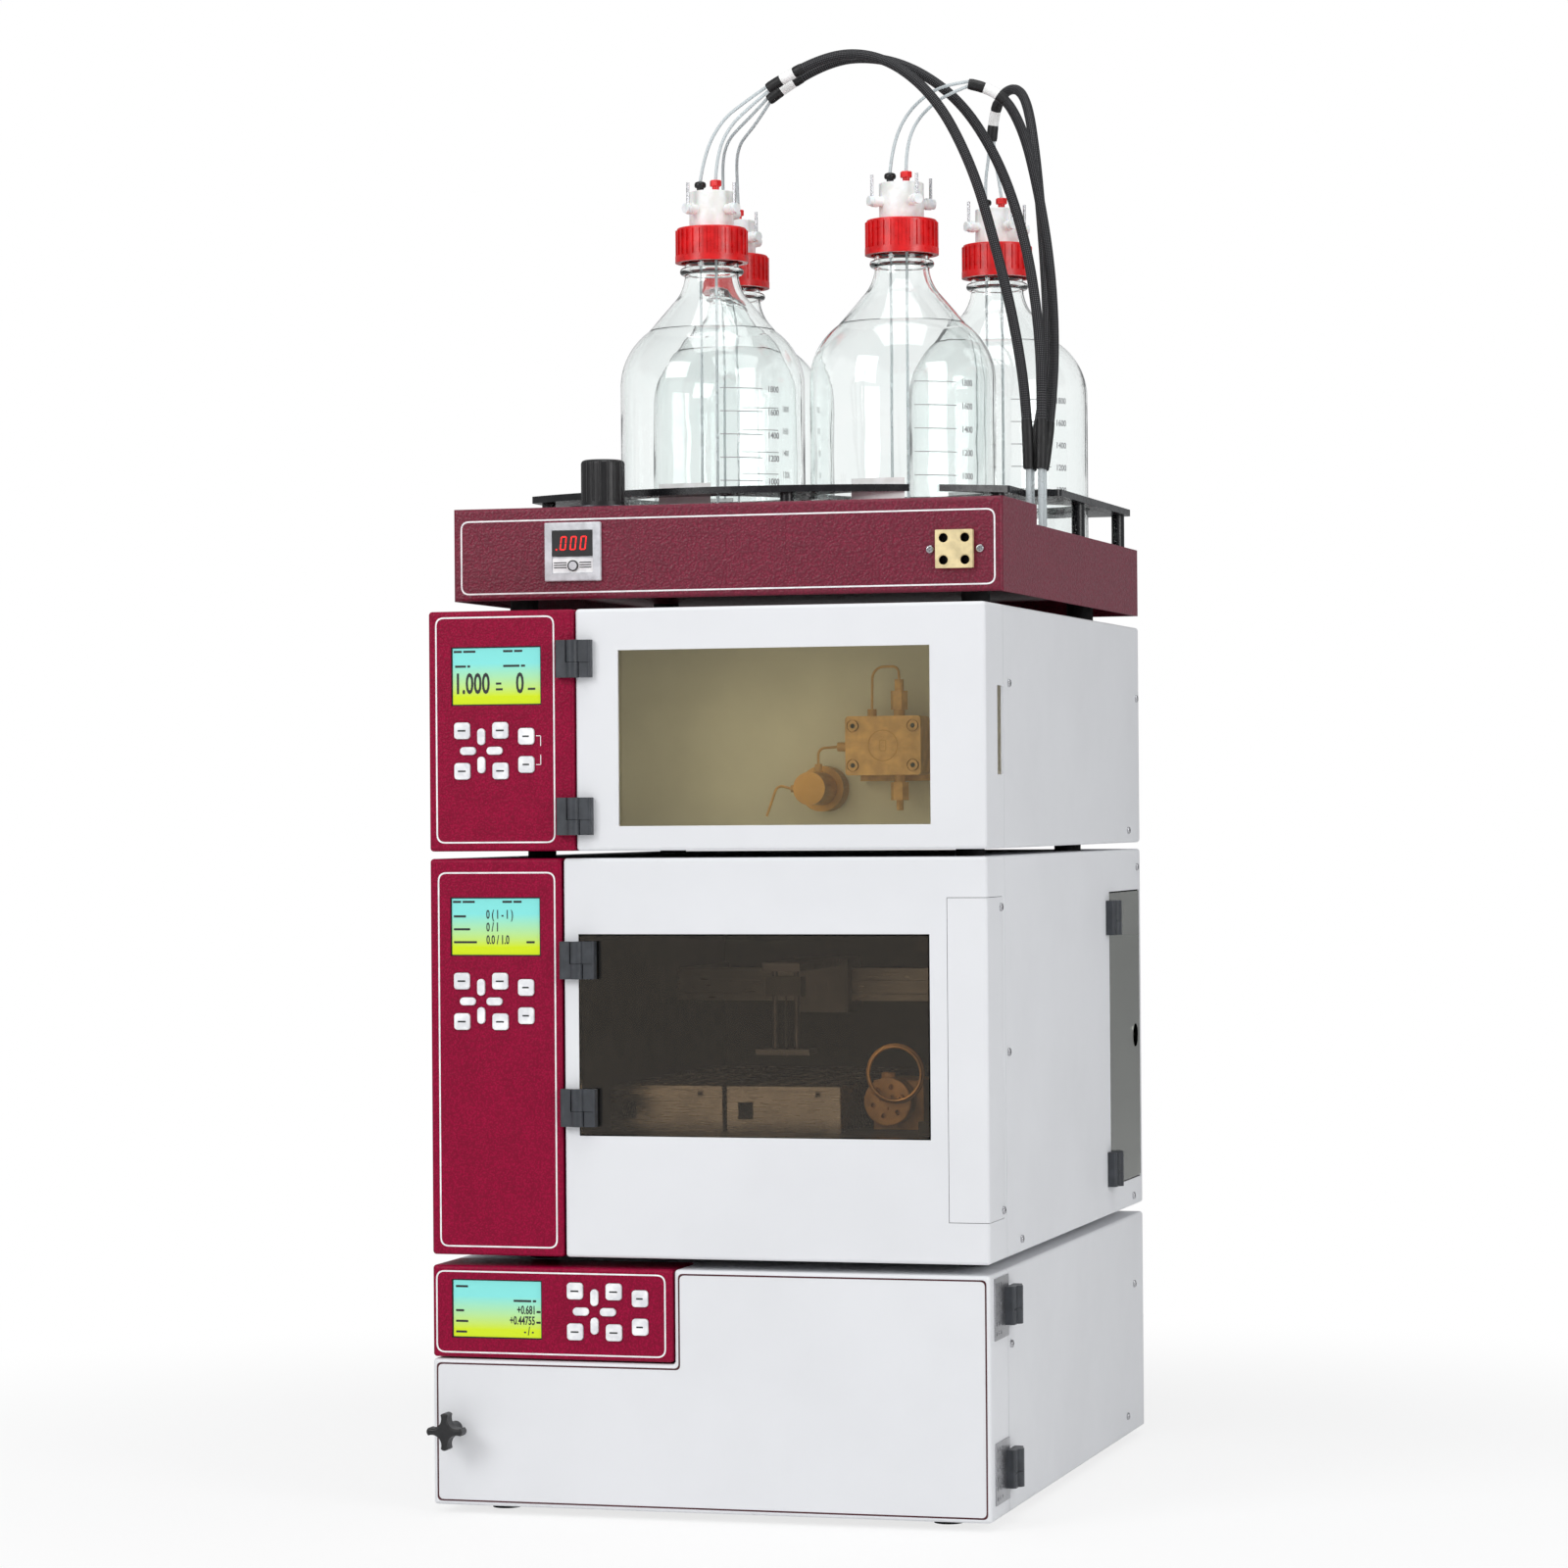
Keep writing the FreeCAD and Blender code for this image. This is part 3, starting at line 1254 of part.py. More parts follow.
def bottle():
    """A glass bottle turned about Z. Each line or arc is given by radius and height."""
    r = bottle_radius
    inner_r = bottle_radius - glass
    neck_in = neck_radius - glass
    foot = 10.0
    floor_glass = glass + 1.0
    top = bottle_height
    outside = [
        ((0.0, 0.0), (r - foot, 0.0)),
        ((r - foot, 0.0), (r - 0.293 * foot, 0.293 * foot), (r, foot)),
        ((r, foot), (r, shoulder_z)),
        ((r, shoulder_z), (62.5, shoulder_z + 21.0), (47.0, shoulder_z + 39.0)),
        ((47.0, shoulder_z + 39.0), (29.0, shoulder_z + 60.0)),
        ((29.0, shoulder_z + 60.0), (22.6, shoulder_z + 69.5), (neck_radius, neck_z)),
        ((neck_radius, neck_z), (neck_radius, neck_z + 2.0)),
        ((neck_radius, neck_z + 2.0), (23.6, neck_z + 4.5), (neck_radius, neck_z + 7.0)),
        ((neck_radius, neck_z + 7.0), (neck_radius, neck_z + 12.0)),
        ((neck_radius, neck_z + 12.0), (thread_radius, neck_z + 14.0)),
        ((thread_radius, neck_z + 14.0), (thread_radius, top - 2.0)),
        ((thread_radius, top - 2.0), (neck_radius, top)),
    ]
    bend = (inner_r - 2.6, floor_glass + 2.6)
    inside = [
        ((neck_radius, top), (neck_in, top)),
        ((neck_in, top), (neck_in, neck_z)),
        ((neck_in, neck_z), (22.6 - glass, shoulder_z + 69.5), (29.0 - glass, shoulder_z + 60.0)),
        ((29.0 - glass, shoulder_z + 60.0), (47.0 - glass, shoulder_z + 39.0)),
        ((47.0 - glass, shoulder_z + 39.0), (62.5 - glass, shoulder_z + 21.0), (inner_r, shoulder_z)),
        ((inner_r, shoulder_z), (inner_r, floor_glass + 8.6)),
        ((inner_r, floor_glass + 8.6), bend, (inner_r - 9.0, floor_glass)),
        ((inner_r - 9.0, floor_glass), (0.0, floor_glass)),
        ((0.0, floor_glass), (0.0, 0.0)),
    ]
    edges = [arc_or_line(points) for points in outside + inside]
    return Part.Face(Part.Wire(edges)).revolve(V(0, 0, 0), UP, 360)


def screw_cap():
    """A ribbed screw cap with an open top, from its lower edge at zero."""
    flange = rod(cap_radius, cap_flange, V(0, 0, 0), UP)
    core_radius = cap_radius - 1.3
    core = rod(core_radius, cap_height, V(0, 0, 0), UP)
    core = core.makeFillet(1.0, edges_on(core, lambda p: p.z > cap_height - 0.01))
    ribs = []
    for i in range(cap_ribs):
        rib = box(core_radius - 0.8, cap_radius - 0.2, -1.1, 1.1, cap_flange - 0.5, cap_height - 1.8)
        rib.rotate(V(0, 0, 0), UP, 360.0 * i / cap_ribs)
        ribs.append(rib)
    hollow = rod(thread_radius + 0.5, cap_height - cap_wall, V(0, 0, -0.01), UP)
    opening = rod(head_radius + 0.4, cap_height + 2.0, V(0, 0, -1.0), UP)
    return joined([flange, core] + ribs).cut([hollow, opening])


def distribution_head(turn):
    """The white head, from the bottle's rim at zero: plug, seat, tower and three side valves."""
    seat_top = cap_above_rim - cap_wall - 0.1
    plug = rod(head_plug_radius, 12.0, V(0, 0, -12.0), UP)
    seat = rod(head_seat_radius, seat_top, V(0, 0, 0), UP)
    tower_top = cap_above_rim + head_rise
    tower = rod(head_radius, tower_top, V(0, 0, 0), UP)
    tower = tower.makeFillet(0.8, edges_on(tower, lambda p: p.z > tower_top - 0.01))
    stub_z = tower_top - 14.0
    solids = [plug, seat, tower]
    for degrees in (-90, 0, 90):
        a = math.radians(turn + degrees)
        way = V(math.cos(a), math.sin(a), 0)
        solids.append(rod(stub_radius, stub_reach, V(0, 0, stub_z), way))
        solids.append(rod(stub_radius + 0.7, 4.0, V(0, 0, stub_z) + way * (stub_reach - 7.0), way))
    head = joined(solids)
    cuts = []
    for degrees in (-90, 0, 90):
        a = math.radians(turn + degrees)
        spot = V(math.cos(a), math.sin(a), 0) * (stub_reach - 2.8) + V(0, 0, stub_z - 1.0)
        cuts.append(rod(pin_radius, stub_radius + 3.0, spot, UP))
    return head.cut(cuts)


def stopcock_pins(turn):
    """The steel pins that turn a head's three side valves, seated in their blind holes."""
    tower_top = cap_above_rim + head_rise
    stub_z = tower_top - 14.0
    pins = []
    for degrees in (-90, 0, 90):
        a = math.radians(turn + degrees)
        spot = V(math.cos(a), math.sin(a), 0) * (stub_reach - 2.8) + V(0, 0, stub_z - 1.0)
        pins.append(rod(pin_radius, pin_length, spot, UP))
    return pins


head_turns = {"front_left": -29.0, "front_right": -48.0, "back_left": -29.0, "back_right": -48.0}
nut_angles = (190.0, -50.0)


def nut_spots(place):
    x, y = place
    spots = []
    for degrees in nut_angles:
        a = math.radians(degrees)
        spots.append(V(x + nut_ring * math.cos(a), y + nut_ring * math.sin(a), head_top))
    return spots


def tube_nut(spot):
    """A tube nut with a knurled skirt and a hexagonal top."""
    skirt = rod(tube_nut_radius - 0.6, tube_nut_height - 4.0, spot, UP)
    top = hexagon(2 * tube_nut_radius * 0.9, 4.0, spot + UP * (tube_nut_height - 4.0))
    return joined([skirt, top])


# Hoses and clear tubes. Each route is a list of points from the left side, the front and the table,
# drawn for a given width, depth and bottle height. Where a size grows, the bottles' heads and the
# tubes and hoses that start there move by a share of that growth, and the hoses' lower ends by all.
hose_radius = 3.75
clear_radius = 2.2
drawn_size = V(400.0, 513.5, 260.0)
growth = V(width, depth, bottle_height) - drawn_size
head_share = {"front_left": 0.5, "back_left": 0.0, "front_right": 0.5, "back_right": 1.0}
hose_share = {"front_left": 0.5, "back_left": 0.5, "front_right": 0.5, "back_right": 1.0}
drawn_hoses = {
    "front_left": (
        (184.0, 230.0, 1020.0), (222.0, 228.0, 1041.5), (270.0, 224.0, 1041.0), (312.0, 221.0, 1009.0),
        (340.0, 221.0, 956.0), (357.0, 222.0, 896.0), (371.0, 223.5, 836.0), (379.0, 225.0, 776.0),
        (379.5, 225.0, 734.0),
    ),
    "back_left": (
        (180.0, 246.0, 1014.0), (219.0, 245.5, 1041.0), (272.0, 246.5, 1042.0), (321.0, 246.0, 1013.0),
        (354.0, 243.5, 964.0), (375.0, 239.0, 904.0), (386.0, 233.0, 842.0), (389.5, 227.5, 782.0),
        (388.5, 225.0, 734.0),
    ),
    "front_right": (
        (334.0, 237.5, 1017.0), (356.0, 241.5, 1012.5), (372.0, 247.5, 985.0), (382.0, 252.0, 940.0),
        (390.0, 254.5, 886.0), (393.5, 253.0, 829.0), (392.0, 245.5, 776.0), (388.5, 234.5, 734.0),
    ),
    "back_right": (
        (315.0, 390.0, 997.0), (317.2, 387.8, 1018.8), (328.3, 376.5, 1032.6), (343.0, 361.5, 1031.9),
        (353.5, 347.5, 1015.5), (362.0, 332.0, 978.0), (369.0, 316.5, 937.0), (376.0, 299.0, 892.0),
        (382.0, 281.0, 846.0), (385.0, 263.0, 800.0), (381.5, 243.5, 761.0), (379.5, 234.5, 734.0),
    ),
}


def top_shift(share):
    return V(growth.x * share, growth.y, growth.z)


def shifted(points, first, last):
    """A route with its ends moved by two given steps and its other points by a share of each."""
    count = len(points) - 1
    return [V(*p) + first + (last - first) * (i / count) for i, p in enumerate(points)]


lower_shift = V(growth.x, growth.y, 0)
hose_routes = {}
for name, points in drawn_hoses.items():
    hose_routes[name] = shifted(points, top_shift(hose_share[name]), lower_shift)

# The points between a head's tube nuts and the start of its hose, for each of its two tubes
lead_bends = {
    "front_left": (
        ((135.0, 229.7, 975.0), (148.0, 229.9, 998.0), (166.0, 230.0, 1011.0)),
        ((146.0, 225.5, 974.0), (155.0, 227.5, 993.0), (169.0, 229.0, 1006.0)),
    ),
    "back_left": (
        ((100.5, 391.5, 974.0), (108.0, 367.0, 991.0), (123.0, 332.0, 999.0), (141.0, 298.0, 1002.0),
         (160.0, 269.0, 1007.0)),
        ((113.5, 387.0, 973.0), (120.0, 363.0, 988.0), (133.0, 329.0, 995.0), (148.5, 296.0, 997.0),
         (164.0, 268.0, 1001.0)),
    ),
    "front_right": (
        ((278.0, 230.5, 972.0), (287.0, 232.5, 995.0), (303.0, 235.5, 1011.0), (320.0, 237.0, 1017.5)),
        ((289.5, 226.8, 970.0), (295.0, 230.5, 989.0), (307.0, 234.8, 1003.0), (321.0, 236.8, 1011.0)),
    ),
    "back_right": (
        ((308.5, 395.0, 968.0), (312.0, 392.0, 984.0)),
        ((320.0, 391.2, 968.0), (317.0, 390.3, 984.0)),
    ),
}
lead_offset = 1.7
socket_insert = 4.0


def lead_routes():
    """Clear tubes from each head's two nuts to the hose, and from the hose down to its socket."""
    routes = []
    for name, points in hose_routes.items():
        start = points[0]
        away = start - points[1]
        side = away.cross(BACK).normalize()
        for i, spot in enumerate(nut_spots(bottle_places()[name])):
            end = start - side * (lead_offset * (1 - 2 * i))
            bends = shifted(lead_bends[name][i], top_shift(head_share[name]), top_shift(hose_share[name]))
            routes.append((tube_radius, [spot + UP * tube_nut_height] + bends + [end]))
        x, y, z = points[-1]
        routes.append((clear_radius, [V(x, y, z), V(x, y, floor_z + socket_height - socket_insert)]))
    return routes


def straight_tube(radius, start, end):
    return rod(radius, (end - start).Length, start, end - start)


def dip_tubes():
    """Straight tubes that hang from each head nearly to the bottle's floor."""
    tubes = []
    for place in bottle_places().values():
        for spot in nut_spots(place):
            start = V(spot.x, spot.y, rim_z - 12.0)
            tubes.append(rod(tube_radius, dip_depth, start, UP * -1))
    return tubes


def report_tube(name, radius, solid, radii, length):
    expected = math.pi * radius ** 2 * length
    bends = ", ".join("%.0f" % r for r in radii)
    print(name, "bend radii", bends, "volume ratio %.4f" % (solid.Volume / expected))


def write_cords():
    ends = []
    for name, points in hose_routes.items():
        solid, radii, length = bent_tube(hose_radius, points)
        report_tube(name, hose_radius, solid, radii, length)
        save("hose_" + name, solid)
        ends.append(solid)
        ends += [tube_nut(spot) for spot in nut_spots(bottle_places()[name])]
    tubes = []
    for radius, points in lead_routes():
        if len(points) == 2:
            tubes.append(straight_tube(radius, *points))
        else:
            solid, radii, length = bent_tube(radius, points)
            report_tube("clear tube", radius, solid, radii, length)
            tubes.append(solid)
    tubes = [tube.cut(ends) for tube in tubes]
    save("clear_tubes", group(tubes + dip_tubes()))


def foot(x, y, top, height):
    return rod(foot_radius, height, V(x, y, top - height), UP)


def all_feet():
    feet = []
    for x in (base_foot_inset, width - base_foot_inset):
        for y in (base_foot_inset, depth - base_foot_inset):
            feet.append(foot(x, y, base_z, base_foot))
    for top, height in ((sampler_z, sampler_foot), (pump_z, pump_foot)):
        for x in stack_foot_x:
            for y in stack_foot_y:
                feet.append(foot(x, y, top, height))
    under_tray = floor_z - tray_plate
    for x in organiser_foot_x:
        for y in organiser_foot_y:
            feet.append(foot(x, y, under_tray, under_tray - pump_top))
    return group(feet)


def write_bottles():
    glassware = bottle()
    cap = screw_cap()
    pins = []
    nuts = []
    for name, (x, y) in bottle_places().items():
        body = glassware.copy()
        body.translate(V(x, y, floor_z))
        save("bottle_" + name, body)
        lid = cap.copy()
        lid.translate(V(x, y, cap_top - cap_height))
        save("cap_" + name, lid)
        for pin in stopcock_pins(head_turns[name]):
            pin.translate(V(x, y, rim_z))
            pins.append(pin)
        nuts += [tube_nut(spot) for spot in nut_spots((x, y))]
    save("stopcock_pins", group(pins))
    save("tube_nuts", group(nuts))
    heads = []
    for name, (x, y) in bottle_places().items():
        head = distribution_head(head_turns[name])
        head.translate(V(x, y, rim_z))
        heads.append(head)
    save("bottle_heads", group(heads))


def write_hinges():
    fixed = []
    for door, pairs in hinge_sets().items():
        fixed += [pair[0] for pair in pairs]
        save(door + "_door_leaves", group([pair[1] for pair in pairs]))
    save("fixed_hinge_leaves", group(fixed))
    save("base_hinge_plates", group([hinge_plate(base_z + z) for z in base_hinge_z]))


def write_all():
    save("base_case", base_case())
    save("base_panel", control_panel("base", base_panel_width, base_panel_z, base_top))
    save("base_door", base_door())
    save("base_door_knob", star_knob())
    save("column_oven", column_oven())
    save("separation_column", separation_column())
    save("detector_cell", detector_cell())
    save("sampler_case", sampler_case())
    save("sampler_panel", control_panel("sampler", sampler_panel_width, sampler_z, sampler_top))
    save("sampler_corner_cover", sampler_corner_cover())
    save("sampler_window", sampler_pane())
    save("side_window", side_pane())
    for name, x in zip(("vial_rack_left", "vial_rack_right"), rack_x):
        save(name, vial_rack(x))
    save("gantry_rail", gantry_rail())
    save("needle_carriage", needle_carriage())
    save("needle_holder", needle_holder())
    save("injection_valve", injection_valve())
    save("sample_loop", sample_loop())
    save("pump_case", pump_case())
    save("pump_panel", control_panel("pump", pump_panel_width, pump_z, pump_top))
    save("pump_door", pump_door())
    save("pump_window", pump_pane())
    save("pump_head", pump_head())
    save("pump_lines", pump_lines())
    save("pulse_damper", pulse_damper())
    save("organiser_tray", organiser_tray())
    save("rack_plate", rack_plate())
    save("rack_posts", rack_posts())
    save("regulator_body", regulator_body())
    save("regulator_knob", regulator_knob())
    save("pressure_gauge", pressure_gauge())
    save("manifold_block", manifold_block())
    save("displays", group([display(centre) for centre in lcd_places.values()]))
    save("keypads", group([keypad(centre) for centre in key_centres.values()]))
    save("mains_inlets", group([mains_inlet(z + h / 2) for z, h in (
        (base_z, base_height), (sampler_z, sampler_height), (pump_z, pump_height))]))
    save("case_screws", all_case_screws())
    save("feet", all_feet())
    write_hinges()
    write_bottles()
    write_cords()


write_all()
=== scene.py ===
import math

import bmesh
import bpy
from bpy.props import FloatProperty, FloatVectorProperty, PointerProperty
from mathutils import Matrix, Vector


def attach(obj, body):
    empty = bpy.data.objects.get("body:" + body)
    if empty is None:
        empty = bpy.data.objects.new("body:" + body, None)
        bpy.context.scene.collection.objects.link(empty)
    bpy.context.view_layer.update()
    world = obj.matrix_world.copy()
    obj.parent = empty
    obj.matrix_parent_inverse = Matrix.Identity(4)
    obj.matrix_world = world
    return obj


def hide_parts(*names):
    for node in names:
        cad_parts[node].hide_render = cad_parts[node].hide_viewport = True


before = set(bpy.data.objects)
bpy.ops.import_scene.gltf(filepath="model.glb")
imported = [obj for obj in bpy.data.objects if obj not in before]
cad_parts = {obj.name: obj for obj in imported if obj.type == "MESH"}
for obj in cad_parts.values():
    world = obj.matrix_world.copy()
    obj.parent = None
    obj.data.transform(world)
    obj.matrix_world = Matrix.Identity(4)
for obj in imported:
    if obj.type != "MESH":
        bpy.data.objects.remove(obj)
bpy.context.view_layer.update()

bl_info = {
    "name": "Ion chromatograph",
    "version": (1, 0, 0),
    "blender": (4, 5, 0),
    "location": "3D View > Sidebar > Chromatograph",
    "description": "Finishes, displays, hoses and glassware of a stacked bench chromatograph",
    "category": "Object",
}

# Places are measured from the left side, the front faces and the table, then moved to the frame
BENCH = Vector((0.20435, 0.24525, 0.0))
MM = 0.001
WIDTH = 400.0
BASE_Z = 6.0
BASE_TOP = 173.0
SAMPLER_Z = 180.3
SAMPLER_TOP = 456.3
PUMP_Z = 461.4
ORGANISER_Z = 638.1
ORGANISER_TOP = 703.6
ORGANISER_FRONT = 53.0
BOTTLE_FLOOR_Z = 653.1
BOTTLE_RADIUS = 68.0
RIM_Z = 913.1
HEAD_TOP = 945.6
NUT_HEIGHT = 8.0
NUT_RING = 8.2
NUT_ANGLES = (190.0, -50.0)

# The bottles' scales: their lowest line and the step to the next, and angles round the glass in degrees
SCALE_Z = 24.3
SCALE_STEP = 16.8
LINE_ANGLES = (-68.8, -41.4)
FIGURE_ANGLE = -37.5
FIELD_ANGLES = (-109.0, -75.0)

BOTTLES = {
    "front_left": (139.5, 231.0),
    "front_right": (284.5, 231.0),
    "back_left": (107.5, 398.0),
    "back_right": (316.5, 398.0),
}

# Centres of the displays and key mats, and their keys' steps from there, in X and Z
DISPLAYS = {
    "pump": (50.0, PUMP_Z + 122.0),
    "sampler": (48.2, SAMPLER_Z + 228.7),
    "base": (47.3, BASE_Z + 137.0),
}
KEY_MATS = {
    "pump": (39.1, PUMP_Z + 70.0),
    "sampler": (37.7, SAMPLER_Z + 176.7),
    "base": (119.0, BASE_Z + 136.8),
}
KEY_STEP = 14.1
SIDE_KEY_X = 33.1
SIDE_KEY_STEP = 9.8

# What each display shows, from its centre: figures with their height and place, and bars in place of words
SHOWN = {
    "pump": (
        (("1.000", 20.0, -31.5, -11.8), ("0", 20.0, 14.2, -11.8)),
        ((-31.5, 16.5, (6.0, 9.0)), (5.0, 16.5, (7.0, 6.0)), (-30.5, 6.2, (8.0, 2.0)),
         (5.0, 6.2, (12.0, 3.0)), (-0.5, -6.0, (4.0,)), (-0.5, -10.0, (5.0,)), (23.0, -10.0, (5.5,))),
    ),
    "sampler": (
        (("0 ( 1 - 1 )", 8.6, -7.0, 5.6), ("0 / 1", 8.6, -7.0, -3.2), ("0.0 / 1.0", 8.6, -7.0, -12.0)),
        ((-31.5, 16.5, (6.0, 9.0)), (5.0, 16.5, (7.0, 6.0)), (-31.0, 6.4, (9.0,)),
         (-31.0, -2.6, (12.0,)), (-31.0, -11.6, (17.0,)), (22.5, -11.6, (6.0,))),
    ),
    "base": (
        (("+0.681", 8.2, 14.5, -3.0), ("+0.44755", 8.2, 9.0, -10.4), ("- / -", 8.2, 19.5, -17.6)),
        ((-30.5, 14.6, (9.0,)), (12.0, 5.2, (13.0, 2.5)), (-30.5, -2.2, (6.0,)), (-30.5, -9.6, (9.0,)),
         (-30.5, -17.0, (8.0,)), (28.8, -2.2, (3.0,)), (28.6, -9.6, (3.2,))),
    ),
}

# The pump head's front face, its middle and its four screws
HEAD_FRONT = 61.8
HEAD_CENTRE = (312.0, PUMP_Z + 71.5)
HEAD_SCREWS = [(x, PUMP_Z + z) for x in (290.5, 333.5) for z in (57.8, 85.2)]

# The camera's place in metres, and its turns in radians
CAMERA_PLACE = (0.91852, -3.27485, 0.4888)
CAMERA_YAW = 0.2781
CAMERA_PITCH = 0.0056
CAMERA_ROLL = -0.0075
LIGHTS_AIM = Vector((0.0, 0.0, 0.55))

# The hoses' routes, in metres from the left side, the front faces and the table
HOSES = {
    "front_left": (
        (0.1840, 0.2300, 1.0200), (0.2220, 0.2280, 1.0415), (0.2700, 0.2240, 1.0410),
        (0.3120, 0.2210, 1.0090), (0.3400, 0.2210, 0.9560), (0.3570, 0.2220, 0.8960),
        (0.3710, 0.2235, 0.8360), (0.3790, 0.2250, 0.7760), (0.3795, 0.2250, 0.7340),
    ),
    "back_left": (
        (0.1800, 0.2460, 1.0140), (0.2190, 0.2455, 1.0410), (0.2720, 0.2465, 1.0420),
        (0.3210, 0.2460, 1.0130), (0.3540, 0.2435, 0.9640), (0.3750, 0.2390, 0.9040),
        (0.3860, 0.2330, 0.8420), (0.3895, 0.2275, 0.7820), (0.3885, 0.2250, 0.7340),
    ),
    "front_right": (
        (0.3340, 0.2375, 1.0170), (0.3560, 0.2415, 1.0125), (0.3720, 0.2475, 0.9850),
        (0.3820, 0.2520, 0.9400), (0.3900, 0.2545, 0.8860), (0.3935, 0.2530, 0.8290),
        (0.3920, 0.2455, 0.7760), (0.3885, 0.2345, 0.7340),
    ),
    "back_right": (
        (0.3150, 0.3900, 0.9970), (0.3172, 0.3878, 1.0188), (0.3283, 0.3765, 1.0326),
        (0.3430, 0.3615, 1.0319), (0.3535, 0.3475, 1.0155), (0.3620, 0.3320, 0.9780),
        (0.3690, 0.3165, 0.9370), (0.3760, 0.2990, 0.8920), (0.3820, 0.2810, 0.8460),
        (0.3850, 0.2630, 0.8000), (0.3815, 0.2435, 0.7610), (0.3795, 0.2345, 0.7340),
    ),
}

# The clear tubes from each head's two nuts to the start of its hose
LEADS = {
    "front_left": (
        ((0.13142, 0.22958, 0.9536), (0.1350, 0.2297, 0.9750), (0.1480, 0.2299, 0.9980),
         (0.1660, 0.2300, 1.0110), (0.18316, 0.2300, 1.02148)),
        ((0.14477, 0.22472, 0.9536), (0.1460, 0.2255, 0.9740), (0.1550, 0.2275, 0.9930),
         (0.1690, 0.2290, 1.0060), (0.18484, 0.2300, 1.01852)),
    ),
    "back_left": (
        ((0.09942, 0.39658, 0.9536), (0.1005, 0.3915, 0.9740), (0.1080, 0.3670, 0.9910),
         (0.1230, 0.3320, 0.9990), (0.1410, 0.2980, 1.0020), (0.1600, 0.2690, 1.0070),
         (0.17903, 0.2460, 1.0154)),
        ((0.11277, 0.39172, 0.9536), (0.1135, 0.3870, 0.9730), (0.1200, 0.3630, 0.9880),
         (0.1330, 0.3290, 0.9950), (0.1485, 0.2960, 0.9970), (0.1640, 0.2680, 1.0010),
         (0.18097, 0.2460, 1.0126)),
    ),
    "front_right": (
        ((0.27642, 0.22958, 0.9536), (0.2780, 0.2305, 0.9720), (0.2870, 0.2325, 0.9950),
         (0.3030, 0.2355, 1.0110), (0.3200, 0.2370, 1.0175), (0.33434, 0.2375, 1.01867)),
        ((0.28977, 0.22472, 0.9536), (0.2895, 0.2268, 0.9700), (0.2950, 0.2305, 0.9890),
         (0.3070, 0.2348, 1.0030), (0.3210, 0.2368, 1.0110), (0.33366, 0.2375, 1.01533)),
    ),
    "back_right": (
        ((0.30842, 0.39658, 0.9536), (0.3085, 0.3950, 0.9680), (0.3120, 0.3920, 0.9840),
         (0.31331, 0.3900, 0.99717)),
        ((0.32177, 0.39172, 0.9536), (0.3200, 0.3912, 0.9680), (0.3170, 0.3903, 0.9840),
         (0.31669, 0.3900, 0.99683)),
    ),
}


def at(x, y, z):
    """A point of the frame, in metres, from millimetres on the bench."""
    return Vector((x, y, z)) * MM - BENCH


def paint(red, green, blue):
    """A colour as a shader takes it, from its screen values of 0 to 255."""
    values = []
    for value in (red, green, blue):
        value /= 255.0
        values.append(value / 12.92 if value <= 0.04045 else ((value + 0.055) / 1.055) ** 2.4)
    return tuple(values)


def look():
    return bpy.context.scene.chromatograph


# Settings

COLOUR = {"subtype": "COLOR", "min": 0.0, "max": 1.0}


class ChromatographSettings(bpy.types.PropertyGroup):
    focal_length: FloatProperty(
        name="Focal Length", description="The camera lens", default=105.85, min=20.0, unit="CAMERA")
    light_power: FloatProperty(
        name="Light Power", description="Power of the main soft light", default=42.0, min=0.0, unit="POWER")
    line_width: FloatProperty(
        name="Outline Width", description="Width of the painted outlines", default=0.0011, min=0.0003,
        unit="LENGTH")
    mark_width: FloatProperty(
        name="Mark Width", description="Width of the marks on the bottles", default=0.0006, min=0.0002,
        unit="LENGTH")
    hose_diameter: FloatProperty(
        name="Hose Diameter", description="Diameter of the braided hoses", default=0.0075, min=0.002,
        unit="LENGTH")
    tube_diameter: FloatProperty(
        name="Tube Diameter", description="Diameter of the clear tubes", default=0.0024, min=0.001,
        unit="LENGTH")
    lower_diameter: FloatProperty(
        name="Lower Tube Diameter", description="Diameter of the tubes under the hoses", default=0.0044,
        min=0.001, unit="LENGTH")
    figure_width: FloatProperty(
        name="Figure Width", description="How narrow the figures on the displays are", default=0.6,
        min=0.2, max=1.5)
    front_paint: FloatVectorProperty(
        name="Front Paint", description="Paint of the control panels", default=paint(150, 4, 54), **COLOUR)
    case_paint: FloatVectorProperty(
        name="Case Paint", description="Powder coat of the cases and doors", default=paint(232, 233, 236),
        **COLOUR)
    cap_colour: FloatVectorProperty(
        name="Cap Colour", description="Plastic of the screw caps", default=paint(206, 16, 20), **COLOUR)
    display_top: FloatVectorProperty(
        name="Display Top", description="Upper colour of the displays", default=paint(120, 205, 200),
        **COLOUR)
    display_bottom: FloatVectorProperty(
        name="Display Bottom", description="Lower colour of the displays", default=paint(188, 208, 14),
        **COLOUR)


# Node helpers


def worked_out(tree, operation, *values, kind="ShaderNodeMath"):
    """The result of a maths node that takes sockets, numbers or vectors, in that order."""
    made = tree.nodes.new(kind)
    made.operation = operation
    for socket, value in zip(made.inputs, values):
        if isinstance(value, bpy.types.NodeSocket):
            tree.links.new(value, socket)
        else:
            socket.default_value = value
    return made.outputs[0]


